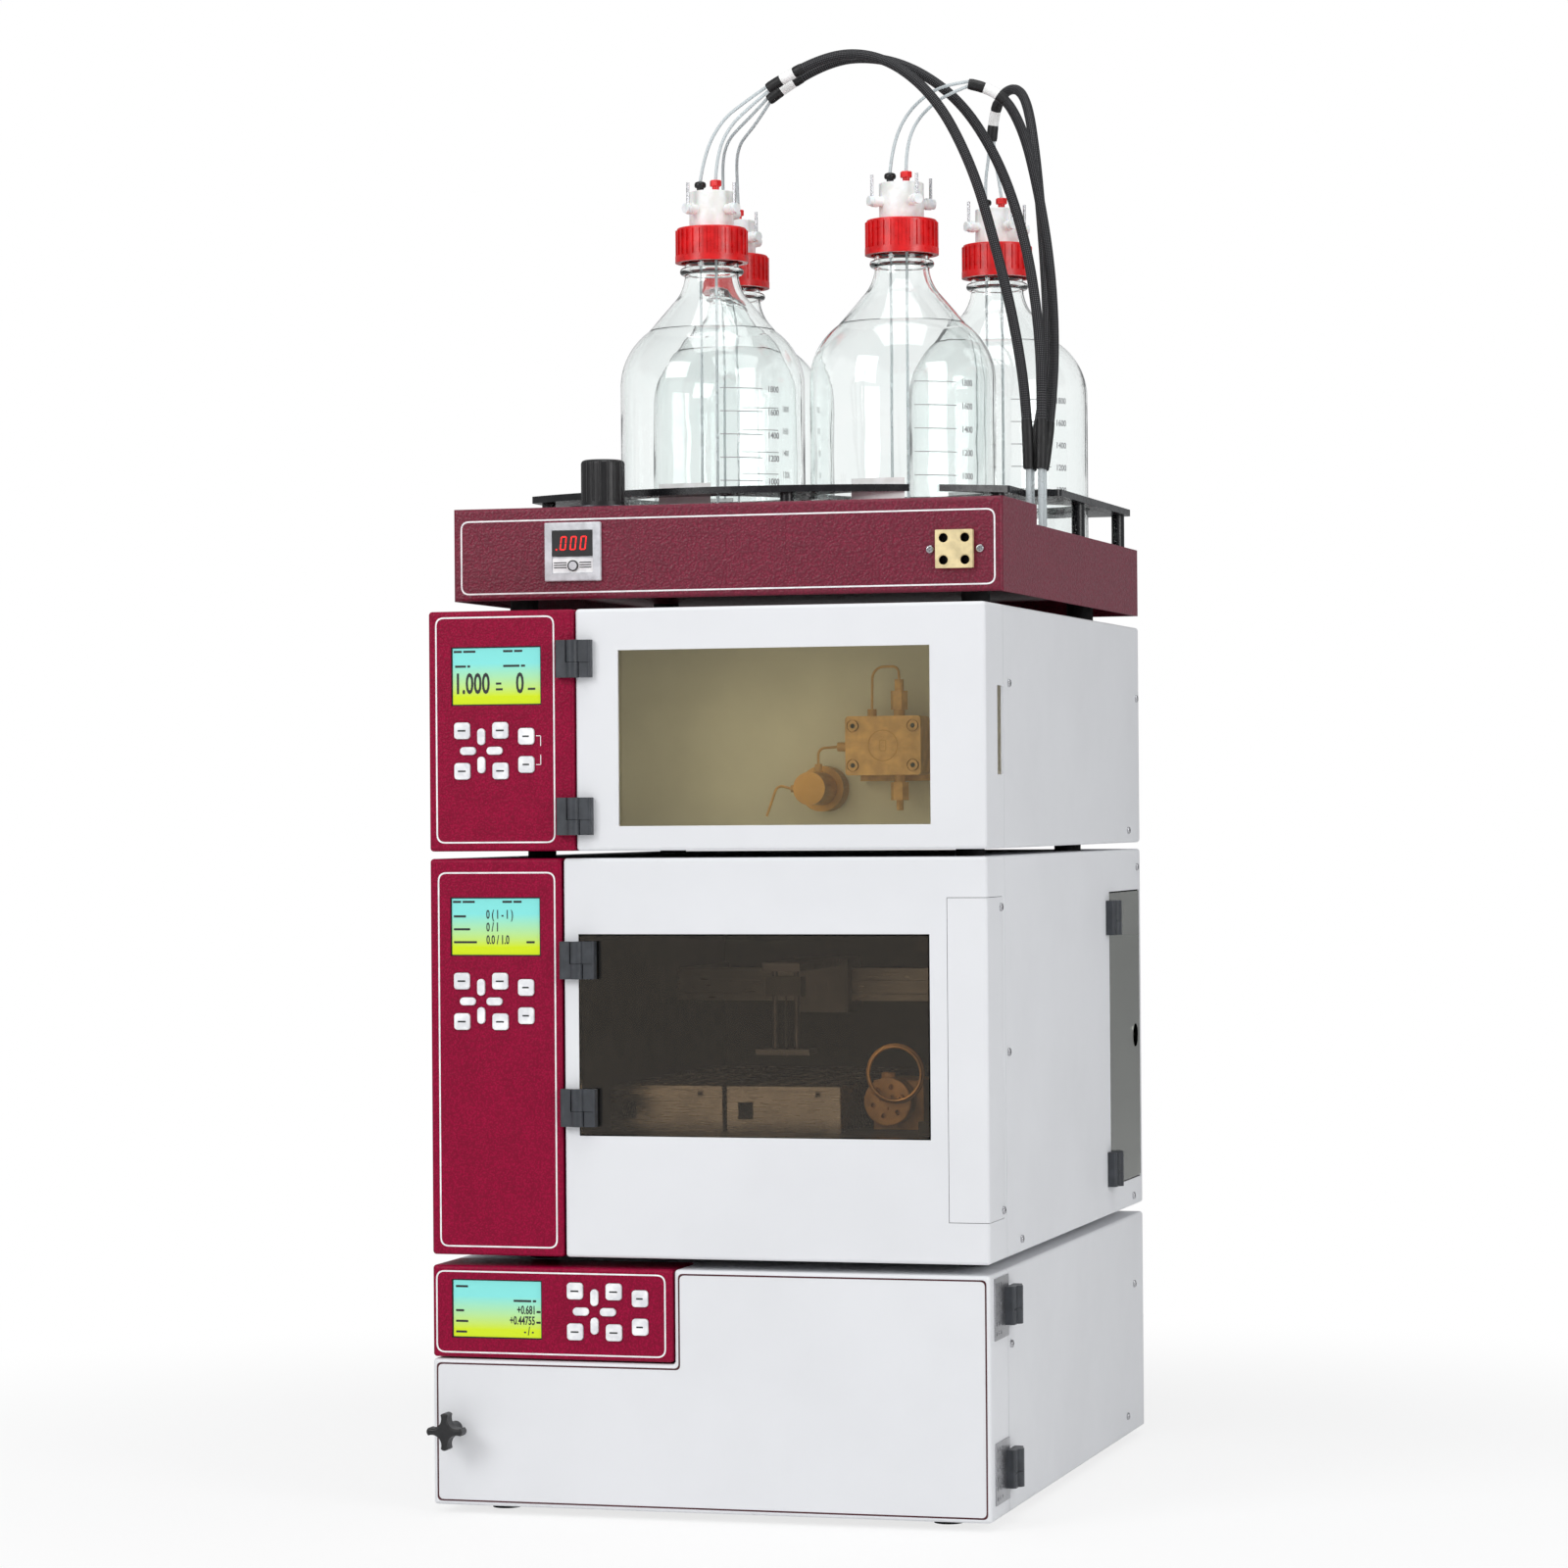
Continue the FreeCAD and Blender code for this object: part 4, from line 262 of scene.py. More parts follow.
def plain_where_seen(tree, lit, white, output, share=1.0):
    """Camera rays, also those through glass, meet the white shader. All other rays meet the lit one."""
    path = tree.nodes.new("ShaderNodeLightPath")
    seen = worked_out(tree, "MAXIMUM", path.outputs["Is Camera Ray"], path.outputs["Is Transmission Ray"])
    mix = tree.nodes.new("ShaderNodeMixShader")
    tree.links.new(worked_out(tree, "MULTIPLY", seen, share), mix.inputs[0])
    tree.links.new(lit.outputs[0], mix.inputs[1])
    tree.links.new(white.outputs[0], mix.inputs[2])
    tree.links.new(mix.outputs[0], tree.nodes.new(output).inputs["Surface"])


class Finish:
    """A material with a Principled shader, built up in steps from object coordinates."""

    def __init__(self, name, colour, roughness, metallic=0.0):
        self.material = bpy.data.materials.new(name)
        self.material.use_nodes = True
        self.tree = self.material.node_tree
        self.surface = self.tree.nodes["Principled BSDF"]
        self.colour = colour
        self.surface.inputs["Base Color"].default_value = (*colour, 1.0)
        self.surface.inputs["Roughness"].default_value = roughness
        self.surface.inputs["Metallic"].default_value = metallic
        self.place = self.node("ShaderNodeTexCoord").outputs["Object"]

    def node(self, kind, **values):
        made = self.tree.nodes.new(kind)
        for name, value in values.items():
            setattr(made, name, value)
        return made

    def link(self, source, target):
        self.tree.links.new(source, target)

    def number(self, operation, *values):
        return worked_out(self.tree, operation, *values)

    def vector(self, operation, *values):
        return worked_out(self.tree, operation, *values, kind="ShaderNodeVectorMath")

    def split(self, vector):
        """The X, Y and Z of a vector."""
        parts = self.node("ShaderNodeSeparateXYZ")
        self.link(vector, parts.inputs[0])
        return parts.outputs

    def stretched(self, x, y, z):
        """Coordinates pulled out along an axis, for grain that runs one way."""
        mapping = self.node("ShaderNodeMapping")
        mapping.inputs["Scale"].default_value = (x, y, z)
        self.link(self.place, mapping.inputs["Vector"])
        return mapping.outputs["Vector"]

    def noise(self, scale, detail=3.0, source=None):
        made = self.node("ShaderNodeTexNoise")
        made.inputs["Scale"].default_value = scale
        made.inputs["Detail"].default_value = detail
        self.link(source or self.place, made.inputs["Vector"])
        return made.outputs["Fac"]

    def cells(self, scale, source=None):
        made = self.node("ShaderNodeTexVoronoi", feature="SMOOTH_F1")
        made.inputs["Scale"].default_value = scale
        self.link(source or self.place, made.inputs["Vector"])
        return made.outputs["Distance"]

    def spread(self, value, low, high, to_low=0.0, to_high=1.0):
        made = self.node("ShaderNodeMapRange")
        for name, number in zip(("From Min", "From Max", "To Min", "To Max"), (low, high, to_low, to_high)):
            made.inputs[name].default_value = number
        self.link(value, made.inputs["Value"])
        return made.outputs["Result"]

    def mixed(self, factor, first, second):
        made = self.node("ShaderNodeMix", data_type="RGBA")
        self.link(factor, made.inputs["Factor"])
        for socket, colour in ((made.inputs["A"], first), (made.inputs["B"], second)):
            if isinstance(colour, tuple):
                socket.default_value = (*colour, 1.0)
            else:
                self.link(colour, socket)
        return made.outputs["Result"]

    def tint(self, other, scale, detail=3.0, low=0.4, high=0.65):
        """Vary the colour softly towards another."""
        factor = self.spread(self.noise(scale, detail), low, high)
        made = self.mixed(factor, self.colour, other)
        self.link(made, self.surface.inputs["Base Color"])
        return made

    def polish(self, low, high, scale, source=None):
        """Vary the roughness between two values."""
        value = self.spread(self.noise(scale, 4.0, source), 0.3, 0.7, low, high)
        self.link(value, self.surface.inputs["Roughness"])

    def relief(self, height, depth, strength=1.0):
        """Raise or sink the surface by a small height, in metres. Later reliefs add to earlier ones."""
        made = self.node("ShaderNodeBump")
        made.inputs["Distance"].default_value = depth
        made.inputs["Strength"].default_value = strength
        self.link(height, made.inputs["Height"])
        target = self.surface.inputs["Normal"]
        if target.links:
            self.link(target.links[0].from_socket, made.inputs["Normal"])
        self.link(made.outputs["Normal"], target)

    def within(self, low, high):
        """One inside a box of bench millimetres and zero outside it."""
        low = at(*low)
        high = at(*high)
        from_centre = self.vector("SUBTRACT", self.place, (low + high) / 2)
        past = self.vector("SUBTRACT", self.vector("ABSOLUTE", from_centre), (high - low) / 2)
        x, y, z = self.split(past)
        most = self.number("MAXIMUM", self.number("MAXIMUM", x, y), z)
        return self.number("LESS_THAN", most, 0.0)

    def cover(self, where, colour):
        """Lay another colour over the first one where a value is one."""
        base = self.surface.inputs["Base Color"]
        self.link(self.mixed(where, base.links[0].from_socket, colour), base)

    def clear(self, index):
        self.surface.inputs["Transmission Weight"].default_value = 1.0
        self.surface.inputs["IOR"].default_value = index


def powder_coat(name, colour):
    finish = Finish(name, colour, 0.45)
    finish.tint(tuple(c * 0.965 for c in colour), 9.0)
    finish.polish(0.38, 0.5, 60.0)
    finish.relief(finish.noise(1500.0, 2.0), 0.00008, 0.5)
    return finish


def leather_paint(name, colour, cell, depth, shine):
    """Paint with a fine leathery texture, with painted highlight and painted shade on its small cells."""
    finish = Finish(name, colour, 0.4)
    finish.surface.inputs["Specular IOR Level"].default_value = shine
    bumps = finish.cells(cell)
    # Painted highlight and painted shade: the colour is lighter in the middle of each small cell and darker
    # at its edge.
    painted_cell_light_and_shade = finish.spread(bumps, 0.05, 0.5, 1.3, 0.8)
    shade = finish.tint(tuple(c * 0.92 for c in colour), 60.0)
    scaled = finish.node("ShaderNodeVectorMath", operation="SCALE")
    finish.link(shade, scaled.inputs[0])
    finish.link(painted_cell_light_and_shade, scaled.inputs["Scale"])
    finish.link(scaled.outputs[0], finish.surface.inputs["Base Color"])
    finish.polish(0.3, 0.48, 420.0)
    finish.relief(bumps, depth, 0.7)
    finish.relief(finish.noise(1800.0, 3.0), depth * 0.5, 0.5)
    return finish


def moulding(name, colour, roughness, grain=1400.0):
    finish = Finish(name, colour, roughness)
    finish.tint(tuple(min(c * 1.3 + 0.004, 1.0) for c in colour), 120.0)
    finish.polish(roughness - 0.06, roughness + 0.08, 200.0)
    finish.relief(finish.noise(grain, 3.0), 0.00006, 0.5)
    return finish


def brushed(name, colour, roughness, grain):
    """Metal with a grain, from how closely it lies along X, Y and Z."""
    finish = Finish(name, colour, roughness, 1.0)
    lines = finish.stretched(*grain)
    finish.tint(tuple(c * 0.8 for c in colour), 40.0)
    finish.polish(roughness - 0.08, roughness + 0.12, 1.0, lines)
    finish.relief(finish.noise(1.0, 3.0, lines), 0.00004, 0.4)
    return finish


def tinted_sheet(name, colour, shine):
    """A coloured acrylic sheet with a barely wavy surface."""
    finish = Finish(name, colour, 0.0)
    finish.tint(tuple(c * 0.92 for c in colour), 14.0)
    finish.clear(1.49)
    finish.surface.inputs["Specular IOR Level"].default_value = shine
    finish.relief(finish.noise(14.0, 1.0), 0.0003, 0.08)
    return finish


def clear_glass(name):
    """Blown glass with soft waves and faint streaks."""
    finish = Finish(name, (0.965, 0.985, 0.98), 0.0)
    finish.tint((0.94, 0.97, 0.965), 20.0)
    finish.clear(1.47)
    finish.relief(finish.noise(26.0, 1.0), 0.003, 0.2)
    return finish


def milky_tube(name, colour):
    """A thin plastic tube that lets some light through."""
    finish = Finish(name, colour, 0.25)
    finish.tint(tuple(c * 0.95 for c in colour), 9.0)
    finish.polish(0.2, 0.32, 90.0)
    finish.surface.inputs["Transmission Weight"].default_value = 0.3
    finish.surface.inputs["IOR"].default_value = 1.38
    return finish


def braid(name):
    """A woven sleeve: two crossing sets of strands along and round the hose, with painted highlight on the
    strands' crowns.
    """
    finish = Finish(name, (0.012, 0.012, 0.014), 0.45)
    finish.surface.inputs["Specular IOR Level"].default_value = 0.3
    along, around, _ = finish.split(finish.node("ShaderNodeTexCoord").outputs["UV"])
    waves = []
    for way in (1.0, -1.0):
        rows = finish.number("MULTIPLY", along, 900.0)
        strands = finish.number("MULTIPLY_ADD", around, way * 2 * math.pi * 8, rows)
        waves.append(finish.number("SINE", strands))
    height = finish.spread(finish.number("MULTIPLY", *waves), -0.1, 1.0)
    # Painted highlight: the colour runs from the black of the sleeve up to grey on the crowns of the
    # strands.
    shade = finish.mixed(height, (0.004, 0.004, 0.005), (0.13, 0.13, 0.14))
    finish.link(shade, finish.surface.inputs["Base Color"])
    finish.relief(height, 0.0004, 0.9)
    finish.relief(finish.noise(2500.0, 2.0), 0.0001, 0.4)
    return finish


# Name, screen colour and roughness of each moulded or printed finish, and its grain if not the usual one
MOULDINGS = {
    "hinge": ("hinge_moulding", (52, 55, 60), 0.42),
    "knob": ("knob_moulding", (22, 22, 24), 0.4),
    "inlet": ("inlet_moulding", (18, 18, 20), 0.45),
    "rubber": ("foot_rubber", (20, 20, 21), 0.75, 900.0),
    "key": ("key_rubber", (226, 227, 231), 0.5),
    "peek": ("beige_plastic", (200, 158, 106), 0.42, 700.0),
    "rack": ("rack_black_coat", (24, 25, 28), 0.25),
    "head": ("white_fluoroplastic", (238, 238, 235), 0.38),
    "bezel": ("gauge_bezel", (196, 198, 202), 0.3),
    "shrink": ("shrink_sleeve", (14, 14, 15), 0.5),
    "band": ("white_band", (240, 240, 238), 0.5),
    "white_print": ("white_print", (236, 236, 238), 0.5),
    "maroon_print": ("maroon_print", (66, 10, 22), 0.5),
    "enamel": ("enamel_print", (150, 152, 154), 0.5),
    "dark_print": ("dark_print", (30, 34, 34), 0.5),
    "black_nut": ("black_nut", (16, 16, 17), 0.3),
    "red_nut": ("red_nut", (206, 20, 22), 0.3),
}

# Name, colour, roughness and grain of each metal
METALS = {
    "steel": ("sheet_steel", (0.52, 0.52, 0.54), 0.32, (60.0, 900.0, 900.0)),
    "rack_steel": ("rack_steel", (0.3, 0.29, 0.28), 0.22, (60.0, 900.0, 900.0)),
    "gantry": ("gantry_aluminium", (0.2, 0.2, 0.2), 0.34, (60.0, 900.0, 900.0)),
    "screw": ("screw_steel", (0.58, 0.58, 0.6), 0.25, (700.0, 700.0, 700.0)),
    "aluminium": ("milled_aluminium", (0.6, 0.61, 0.63), 0.36, (50.0, 1200.0, 1200.0)),
    "dark_metal": ("dark_metal", (0.11, 0.11, 0.12), 0.35, (900.0, 900.0, 60.0)),
    "damper": ("damper_bronze", paint(190, 150, 100), 0.4, (900.0, 60.0, 900.0)),
}


def finishes():
    """Every material of the object, made once."""
    front = tuple(look().front_paint)
    made = {
        "case": powder_coat("case_powder_coat", tuple(look().case_paint)),
        "front": leather_paint("front_leather_paint", front, 820.0, 0.00035, 0.15),
        "organiser": leather_paint("organiser_leather_paint", paint(120, 20, 50), 640.0, 0.0005, 0.4),
        "cap": moulding("cap_plastic", tuple(look().cap_colour), 0.3),
        "pump_pane": tinted_sheet("olive_sheet", (0.9, 0.83, 0.6), 0.12),
        "brown_pane": tinted_sheet("brown_sheet", (0.74, 0.62, 0.48), 0.05),
        "side_pane": tinted_sheet("side_sheet", (0.4, 0.42, 0.37), 0.05),
        "glass": clear_glass("bottle_glass"),
        "braid": braid("braided_sleeve"),
        "tube": milky_tube("clear_tube", (0.72, 0.78, 0.8)),
    }
    for key, (name, colour, *surface) in MOULDINGS.items():
        made[key] = moulding(name, paint(*colour), *surface)
    for key, values in METALS.items():
        made[key] = brushed(*values)
    made["head"].surface.inputs["Subsurface Weight"].default_value = 0.15
    return made


FINISHES = {}


def material_of(name):
    """The material of a finish. All are made when the first one is asked for."""
    if not FINISHES:
        FINISHES.update(finishes())
    return FINISHES[name].material


def dress(finish, *nodes):
    """Give CAD nodes a finish in their own material slots."""
    for name in nodes:
        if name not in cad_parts:
            raise RuntimeError("the frame has no node " + name)
        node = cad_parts[name]
        if not node.material_slots:
            node.data.materials.append(None)
        for slot in node.material_slots:
            slot.material = material_of(finish)


# Mesh helpers


def placed(name, data):
    """A new object in the scene."""
    made = bpy.data.objects.new(name, data)
    bpy.context.scene.collection.objects.link(made)
    return made


def piece(name, shape, material, body="frame", smooth=math.radians(35)):
    """A new piece of the object from a shape, shaded, finished and riding on a body."""
    mesh = bpy.data.meshes.new(name)
    bmesh.ops.recalc_face_normals(shape, faces=shape.faces)
    shape.to_mesh(mesh)
    shape.free()
    made = placed(name, mesh)
    mesh.materials.append(material_of(material))
    if smooth:
        mesh.shade_smooth()
        mesh.set_sharp_from_angle(angle=smooth)
    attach(made, body)
    return made


def add_ring(shape, outer, inner, place):
    """A flat band between two outlines of as many points, with a front, a back and side walls."""
    rows = []
    for outline, depth in ((outer, 1), (outer, 0), (inner, 0), (inner, 1)):
        rows.append([shape.verts.new(place(u, v, depth)) for u, v in outline])
    count = len(outer)
    for i in range(count):
        j = (i + 1) % count
        for a in range(4):
            b = (a + 1) % 4
            shape.faces.new((rows[a][i], rows[a][j], rows[b][j], rows[b][i]))


def add_plate(shape, outline, place):
    """A filled outline with a front, a back and side walls."""
    front = [shape.verts.new(place(u, v, 0)) for u, v in outline]
    back = [shape.verts.new(place(u, v, 1)) for u, v in outline]
    shape.faces.new(front)
    shape.faces.new(list(reversed(back)))
    for i in range(len(outline)):
        j = (i + 1) % len(outline)
        shape.faces.new((front[i], back[i], back[j], front[j]))


def add_skin(shape, rows):
    """A closed body through rings of as many points each, with flat ends."""
    for first, second in zip(rows, rows[1:]):
        for k in range(len(first)):
            m = (k + 1) % len(first)
            shape.faces.new((first[k], first[m], second[m], second[k]))
    shape.faces.new(list(reversed(rows[0])))
    shape.faces.new(rows[-1])


def rounded(corners, radius, steps=6):
    """An outline with round corners. Corners that turn inward are rounded as well."""
    points = []
    count = len(corners)
    for i in range(count):
        corner = Vector(corners[i])
        before = (Vector(corners[i - 1]) - corner).normalized()
        after = (Vector(corners[(i + 1) % count]) - corner).normalized()
        start = corner + before * radius
        end = corner + after * radius
        for k in range(steps + 1):
            t = k / steps
            points.append(tuple(start * (1 - t) ** 2 + corner * 2 * t * (1 - t) + end * t ** 2))
    return points


def block(u0, u1, v0, v1):
    return [(u0, v0), (u1, v0), (u1, v1), (u0, v1)]


def centred(u, v, half_u, half_v):
    return block(u - half_u, u + half_u, v - half_v, v + half_v)


def angles(steps):
    return [2 * math.pi * k / steps for k in range(steps)]


def circle(u, v, radius, steps=24):
    return [(u + radius * math.cos(a), v + radius * math.sin(a)) for a in angles(steps)]


def on_front(y_front, y_back):
    """Places an outline of bench X and Z as a thin plate that faces forward."""
    def place(u, v, depth):
        return at(u, y_back if depth else y_front, v)
    return place


def mesh_of(curve):
    """The mesh that a curve or text gives. The curve itself goes."""
    holder = placed(curve.name, curve)
    bpy.context.view_layer.update()
    mesh = bpy.data.meshes.new_from_object(holder.evaluated_get(bpy.context.evaluated_depsgraph_get()))
    bpy.data.objects.remove(holder)
    bpy.data.curves.remove(curve)
    return mesh


def add_text(shape, words, height, x, y, z, depth=0.15, squeeze=1.0):
    """Printed figures that face forward, with their lower left corner at a bench place."""
    curve = bpy.data.curves.new("figures", "FONT")
    curve.body = words
    curve.size = height * MM
    curve.extrude = depth * MM / 2
    curve.offset = height * MM * 0.018
    curve.resolution_u = 3
    mesh = mesh_of(curve)
    corner = at(x, y, z)
    turn = Matrix(((squeeze, 0, 0, corner.x), (0, 0, -1, corner.y), (0, 1, 0, corner.z), (0, 0, 0, 1)))
    mesh.transform(turn)
    shape.from_mesh(mesh)
    bpy.data.meshes.remove(mesh)


def spline(name, points, diameter, material):
    """A NURBS tube through the places of a route, in metres on the bench."""
    curve = bpy.data.curves.new(name, "CURVE")
    curve.dimensions = "3D"
    curve.resolution_u = 14
    curve.bevel_depth = diameter / 2
    curve.bevel_resolution = 5
    curve.use_fill_caps = True
    line = curve.splines.new("NURBS")
    line.points.add(len(points) - 1)
    for point, place in zip(line.points, points):
        point.co = (*(Vector(place) - BENCH), 1.0)
    line.order_u = 3
    line.use_endpoint_u = True
    made = placed(name, curve)
    curve.materials.append(material_of(material))
    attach(made, "frame")
    return made


def centre_line(tube):
    """The points that a tube's own spline follows."""
    plain = tube.data.copy()
    plain.bevel_depth = 0.0
    plain.use_fill_caps = False
    mesh = mesh_of(plain)
    points = [v.co.copy() for v in mesh.vertices]
    bpy.data.meshes.remove(mesh)
    return points


def stretch_of(points, start, end):
    """The part of a line between two distances from its first point."""
    chosen = []
    run = 0.0
    for a, b in zip(points, points[1:]):
        step = (b - a).length
        for goal in (start, end):
            if run <= goal < run + step:
                chosen.append(a.lerp(b, (goal - run) / step))
        run += step
        if start < run < end:
            chosen.append(b.copy())
    return chosen


def sleeve(name, points, radii, material, sides=28):
    """A closed tube round a line, with one radius for each of evenly spaced places along it."""
    total = sum((b - a).length for a, b in zip(points, points[1:]))
    stations = []
    for i, radius in enumerate(radii):
        goal = total * i / (len(radii) - 1)
        run = 0.0
        for a, b in zip(points, points[1:]):
            step = (b - a).length
            if run + step >= goal - 1e-9:
                stations.append((a.lerp(b, min((goal - run) / step, 1.0)), (b - a).normalized(), radius))
                break
            run += step
    shape = bmesh.new()
    rows = []
    side = Vector((0.0, 1.0, 0.0))
    for place, way, radius in stations:
        side = (side - way * side.dot(way)).normalized()
        other = way.cross(side)
        ring = [place + (side * math.cos(a) + other * math.sin(a)) * radius for a in angles(sides)]
        rows.append([shape.verts.new(spot) for spot in ring])
    add_skin(shape, rows)
    return piece(name, shape, material)


def turned(shape, centre, profile, sides=36):
    """Adds a turned body about Z, from radius and height in millimetres."""
    x, y, z = centre
    rows = []
    for radius, height in profile:
        rows.append([shape.verts.new(at(*spot, z + height)) for spot in circle(x, y, radius, sides)])
    add_skin(shape, rows)


# Operators


class CHROMATOGRAPH_OT_stage(bpy.types.Operator):
    """Make the floor, the lights, the background and the camera"""

    bl_idname = "chromatograph.stage"
    bl_label = "Stage"

    def execute(self, context):
        self.camera(context)
        self.floor()
        self.lights()
        self.world(context)
        context.scene.view_settings.view_transform = "Standard"
        return {"FINISHED"}

    def camera(self, context):
        right = Vector((math.cos(CAMERA_YAW), math.sin(CAMERA_YAW), 0.0))
        level = Vector((-right.y, right.x, 0.0))
        ahead = level * math.cos(CAMERA_PITCH) + Vector((0.0, 0.0, math.sin(CAMERA_PITCH)))
        over = right.cross(ahead)
        turned_right = right * math.cos(CAMERA_ROLL) + over * math.sin(CAMERA_ROLL)
        turned_over = over * math.cos(CAMERA_ROLL) - right * math.sin(CAMERA_ROLL)
        data = bpy.data.cameras.new("camera")
        data.lens = look().focal_length
        data.sensor_width = 36.0
        data.clip_end = 60.0
        camera = placed("camera", data)
        axes = Matrix((turned_right, turned_over, -ahead)).transposed().to_4x4()
        camera.matrix_world = Matrix.Translation(CAMERA_PLACE) @ axes
        context.scene.camera = camera

    def floor(self):
        shape = bmesh.new()
        bmesh.ops.create_grid(shape, x_segments=8, y_segments=8, size=14.0)
        mesh = bpy.data.meshes.new("floor")
        shape.to_mesh(mesh)
        shape.free()
        floor = placed("floor", mesh)
        mesh.materials.append(self.floor_paint())

    def floor_paint(self):
        """Pale and lit near the object, and plain white further out."""
        material = bpy.data.materials.new("pale_floor")
        material.use_nodes = True
        tree = material.node_tree
        tree.nodes.clear()
        lit = tree.nodes.new("ShaderNodeBsdfDiffuse")
        lit.inputs["Color"].default_value = (0.9, 0.9, 0.9, 1.0)
        white = tree.nodes.new("ShaderNodeEmission")
        place = tree.nodes.new("ShaderNodeTexCoord")
        reach = tree.nodes.new("ShaderNodeVectorMath")
        reach.operation = "LENGTH"
        tree.links.new(place.outputs["Object"], reach.inputs[0])
        fade = tree.nodes.new("ShaderNodeMapRange")
        fade.interpolation_type = "SMOOTHSTEP"
        for name, value in (("From Min", 0.45), ("From Max", 1.1), ("To Min", 0.76), ("To Max", 1.0)):
            fade.inputs[name].default_value = value
        tree.links.new(reach.outputs["Value"], fade.inputs["Value"])
        plain_where_seen(tree, lit, white, "ShaderNodeOutputMaterial", fade.outputs["Result"])
        return material

    def lights(self):
        power = look().light_power
        places = (
            ("key", (-1.7, -2.7, 1.9), 1.6, power),
            ("side", (2.5, -1.5, 1.3), 1.3, power * 0.6),
            ("top", (0.2, -0.6, 3.0), 1.8, power * 0.7),
        )
        for name, place, size, watts in places:
            data = bpy.data.lights.new(name, "AREA")
            data.shape = "SQUARE"
            data.size = size
            data.energy = watts
            lamp = placed(name, data)
            lamp.location = place
            aim = LIGHTS_AIM - Vector(place)
            lamp.rotation_euler = aim.to_track_quat("-Z", "Y").to_euler()

    def world(self, context):
        """Soft pale light from all round, and plain white behind the object."""
        world = bpy.data.worlds.new("studio")
        context.scene.world = world
        world.use_nodes = True
        tree = world.node_tree
        tree.nodes.clear()
        soft = tree.nodes.new("ShaderNodeBackground")
        soft.inputs["Color"].default_value = (0.96, 0.98, 1.0, 1.0)
        soft.inputs["Strength"].default_value = 0.36
        white = tree.nodes.new("ShaderNodeBackground")
        white.inputs["Color"].default_value = (1.0, 1.0, 1.0, 1.0)
        plain_where_seen(tree, soft, white, "ShaderNodeOutputWorld")


class CHROMATOGRAPH_OT_hoses(bpy.types.Operator):
    """Make the four braided hoses with their shrink sleeves and white bands"""

    bl_idname = "chromatograph.hoses"
    bl_label = "Hoses"

    def execute(self, context):
        diameter = look().hose_diameter
        for name, points in HOSES.items():
            hose = spline("braided_hose_" + name, points, diameter, "braid")
            on_it = self.sleeves(name, centre_line(hose), diameter / 2)
            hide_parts("hose_" + name)
        return {"FINISHED"}

    def sleeves(self, name, line, radius):
        """A shrink sleeve at each end of a hose, and a white band with a collar below the upper one."""
        total = sum((b - a).length for a, b in zip(line, line[1:]))
        fit = [radius * 1.02] + [radius * 1.1] * 5 + [radius * 1.03]
        parts = (
            ("upper_sleeve_", 0.0005, 0.012, fit, "shrink"),
            ("white_band_", 0.012, 0.023, [radius * 1.06] * 6, "band"),
            ("band_collar_", 0.0232, 0.030, fit, "shrink"),
            ("lower_sleeve_", total - 0.036, total - 0.0005, fit, "shrink"),
        )
        made = []
        for kind, start, end, radii, finish in parts:
            made.append(sleeve(kind + name, stretch_of(line, start, end), radii, finish))
        return made


class CHROMATOGRAPH_OT_clear_tubes(bpy.types.Operator):
    """Make the clear tubes above the heads, under the hoses and in the bottles"""

    bl_idname = "chromatograph.clear_tubes"
    bl_label = "Clear Tubes"

    def execute(self, context):
        diameter = look().tube_diameter
        for name, pair in LEADS.items():
            for i, points in enumerate(pair):
                lead = spline("clear_lead_%s_%d" % (name, i + 1), points, diameter, "tube")
                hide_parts("clear_tubes")
        self.lower_tubes()
        self.dip_tubes()
        return {"FINISHED"}

    def lower_tubes(self):
        """A straight tube from each hose's lower end into its socket."""
        foot_z = (BOTTLE_FLOOR_Z + 6.0) * MM
        for name, points in HOSES.items():
            x, y, z = points[-1]
            tube = spline("lower_tube_" + name, ((x, y, z), (x, y, foot_z)), look().lower_diameter, "tube")
            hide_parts("clear_tubes")

    def dip_tubes(self):
        """Straight tubes with a small filter at the lower end."""
        shape = bmesh.new()
        for x, y in BOTTLES.values():
            for degrees in NUT_ANGLES:
                a = math.radians(degrees)
                centre = (x + NUT_RING * math.cos(a), y + NUT_RING * math.sin(a), RIM_Z - 12.0)
                profile = [(0.9, -214.5), (1.2, -214.0), (1.2, -203.0), (1.0, -202.0), (1.0, 0.0)]
                turned(shape, centre, profile, 16)
        made = piece("dip_tubes", shape, "tube")
        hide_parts("clear_tubes")


class CHROMATOGRAPH_OT_cabinets(bpy.types.Operator):
    """Finish the cases, doors, panels, hinges, screws, feet and mains inlets"""

    bl_idname = "chromatograph.cabinets"
    bl_label = "Cabinets"

    def execute(self, context):
        wall = 1.2
        low = (wall, 1.0, SAMPLER_Z + wall)
        high = (WIDTH - wall, 512.2, SAMPLER_TOP - wall)
        self.dark_inside("sampler_case", low, high)
        dress("case", "base_case", "pump_case", "pump_door", "base_door", "sampler_corner_cover")
        dress("front", "base_panel", "sampler_panel", "pump_panel")
        dress("hinge", "pump_door_leaves", "sampler_door_leaves", "side_door_leaves", "base_door_leaves",
              "fixed_hinge_leaves")
        dress("steel", "base_hinge_plates")
        dress("knob", "base_door_knob")
        dress("screw", "case_screws")
        dress("rubber", "feet")
        dress("inlet", "mains_inlets")
        dress("brown_pane", "sampler_window")
        dress("side_pane", "side_window")
        dress("pump_pane", "pump_window")
        return {"FINISHED"}

    def dark_inside(self, node, low, high):
        """The sampler's case is white outside and near black inside its working space."""
        finish = powder_coat("sampler_case_coat", tuple(look().case_paint))
        finish.surface.inputs["Specular IOR Level"].default_value = 0.08
        finish.cover(finish.within(low, high), paint(30, 28, 26))
        FINISHES["sampler"] = finish
        dress("sampler", node)


